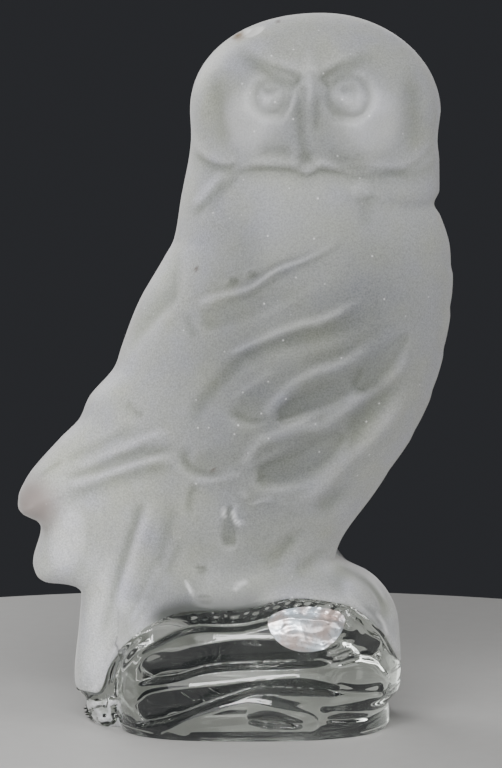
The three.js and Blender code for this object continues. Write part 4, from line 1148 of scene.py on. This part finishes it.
owl.data.materials.append(frosted)
owl.data.materials.append(polished_crystal())
finish = np.full(len(owl.data.polygons), FROSTED)
finish[: ROCK_ROWS * columns] = POLISHED
finish[len(walls) : len(walls) + columns] = POLISHED
patchy = (skin[..., 0] < PATCHES_LEFT_OF) & (skin[..., 2] < PATCHES_BELOW)
patchy[:, :BACK_COLUMNS] = False
patchy[int(ROCK_ROWS * PATCHED_SHARE) :] = False
for row, column in np.argwhere(patchy):
    if noise.noise(Vector(skin[row, column]) / PATCH) > PATCHES_OVER:
        finish[row * columns + column] = FROSTED
owl.data.polygons.foreach_set("material_index", finish)
print("polished faces:", int(finish.sum()))

# %% [markdown]
# ## Foil sticker
# A thin oval of silver foil lies on the top ledge of the rock. It is pearly, was pressed on by
# hand and is slightly creased. Each point is found by looking in at the rock from the front, and
# the foil bridges the small hollows. A shrinkwrap modifier would sink into them.

# %% Lay the foil on the rock
FOIL_X, FOIL_Z = 21.9, 36.6
HALF_LENGTH, UPPER_HEIGHT, LOWER_HEIGHT = 11.7, 4.2, 9
LOWER_LEAN = 0.2
FOIL_THICKNESS = 0.12
GAP = 0.08
CREASE_WIDTH, CREASE_HEIGHT = 0.8, 0.3
ROUNDS, SPOKES = 22, 96

rock_surface = BVHTree.FromPolygons([v.co / MM for v in owl.data.vertices], walls.tolist())


def front_of_rock(x, z, reach=1.2):
    """How far forward the rock comes, close to a point of the front."""
    spots = [(0, 0), (reach, 0), (-reach, 0), (0, reach), (0, -reach)]
    rays = [Vector((x + dx, -200, z + dz)) for dx, dz in spots]
    return min(rock_surface.ray_cast(ray, Vector((0, 1, 0)))[0].y for ray in rays)


oval = [(FOIL_X, FOIL_Z)]
for share in np.arange(1, ROUNDS + 1) / ROUNDS:
    for angle in 2 * math.pi * np.arange(SPOKES) / SPOKES:
        lift = share * math.sin(angle) * (UPPER_HEIGHT if angle < math.pi else LOWER_HEIGHT)
        lean = LOWER_LEAN * max(-lift, 0) * math.cos(angle / 2 - math.pi / 4)
        oval.append((FOIL_X + share * HALF_LENGTH * math.cos(angle) + lean, FOIL_Z + lift))
CREASES = [
    [[11, 37.4], [17, 38.2], [24, 37.2], [33, 38]],
    [[13, 33], [18, 34.6], [24, 33.4], [29, 35]],
    [[16, 40], [20, 36], [22, 31], [27, 28.6]],
    [[25, 40], [28, 36.6], [31, 32.6]],
    [[12, 36], [15, 33], [20, 30.6]],
]
creases = [ridge(line, CREASE_WIDTH, CREASE_HEIGHT) for line in CREASES]
creasing = height_of(creases, *np.array(oval).T)
inner = np.array([[x, front_of_rock(x, z) - GAP, z] for x, z in oval])
inner[:, 1] -= creasing
outer = inner - [0, FOIL_THICKNESS, 0]
print("creases stand up to, mm:", round(float(creasing.max()), 2))

# %% Build the foil
SHARP_EDGE = 50

count = len(oval)
faces = []
for spoke in range(SPOKES):
    following = (spoke + 1) % SPOKES
    faces.append([0, 1 + spoke, 1 + following])
    for start in range(1, count - SPOKES, SPOKES):
        a, b = start + spoke, start + following
        faces.append([a, a + SPOKES, b + SPOKES, b])
back_faces = [[count + point for point in reversed(face)] for face in faces]
rim = [
    [count - SPOKES + a, 2 * count - SPOKES + a, 2 * count - SPOKES + b, count - SPOKES + b]
    for a, b in ((spoke, (spoke + 1) % SPOKES) for spoke in range(SPOKES))
]
sticker = mesh_object("foil_oval", np.vstack([outer, inner]), faces + back_faces + rim)
sticker.data.set_sharp_from_angle(angle=math.radians(SHARP_EDGE))
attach(sticker, "root")
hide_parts("foil_sticker")
print("foil size, mm:", [round(side / MM, 1) for side in sticker.dimensions])

# %% [markdown]
# ## Satin silver foil
# The foil is aluminium under a thin clear film, so it is metallic but soft, with faint pink and
# blue patches. Five creases are in its shape. The fine folds between them are too shallow for the
# mesh, so a ridged noise only tilts the light there.

# %% Foil finish
PEARLY_PATCHES = 5
RUBBED_SPOTS = 0.8
FOLD_SPACING, FOLD_DEPTH = 3.2, 0.4


def satin_silver_foil():
    """Pearly rather than mirror-like: a soft sheen broken up by small creases and rubbed spots."""
    material, tree = new_material("satin_silver_foil")
    spot = add(tree, "TexCoord", {}, "Object")
    cloud = add(tree, "TexNoise", {"Vector": spot, "Scale": 1 / (PEARLY_PATCHES * MM), "Detail": 2}, "Fac")
    share = add(tree, "MapRange", {"Value": cloud, "From Min": 0.35, "From Max": 0.65}, "Result")
    tones = {"Factor": share, "A": linear("#d8c8c2"), "B": linear("#dde6ee")}
    colour = add(tree, "Mix", tones, "Result", data_type="RGBA")
    rub = add(tree, "TexNoise", {"Vector": spot, "Scale": 1 / (RUBBED_SPOTS * MM), "Detail": 2}, "Fac")
    rubs = {"Value": rub, "From Min": 0.56, "From Max": 0.7, "To Max": 0.5}
    rubbed = add(tree, "MapRange", rubs, "Result")
    wear = {"Factor": rubbed, "A": colour, "B": linear("#8e8884")}
    colour = add(tree, "Mix", wear, "Result", data_type="RGBA")
    folds = {"Vector": spot, "Scale": 1 / (FOLD_SPACING * MM), "Detail": 5, "Distortion": 0.6}
    crease = add(tree, "TexNoise", folds, "Fac", noise_type="RIDGED_MULTIFRACTAL")
    bump = {"Height": crease, "Strength": 0.7, "Distance": FOLD_DEPTH * MM}
    foil = {
        "Base Color": colour,
        "Metallic": 0.7,
        "Roughness": 0.32,
        "Normal": add(tree, "Bump", bump, "Normal"),
    }
    add(tree, "OutputMaterial", {"Surface": add(tree, "BsdfPrincipled", foil, "BSDF")})
    return material


sticker.data.materials.append(satin_silver_foil())
print("finishes:", [material.name for material in bpy.data.materials])

# %% [markdown]
# ## Sizes
# The dressed model should fill the same box as the solid one. Both boxes are printed.

# %% Print both boxes and finish
dressed_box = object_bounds()
boxes = {"solid": solid_box, "dressed": dressed_box}
{name: [list(corner) for corner in box] for name, box in boxes.items()}
print("dressed, mm:", [[round(value / MM, 2) for value in corner] for corner in dressed_box])
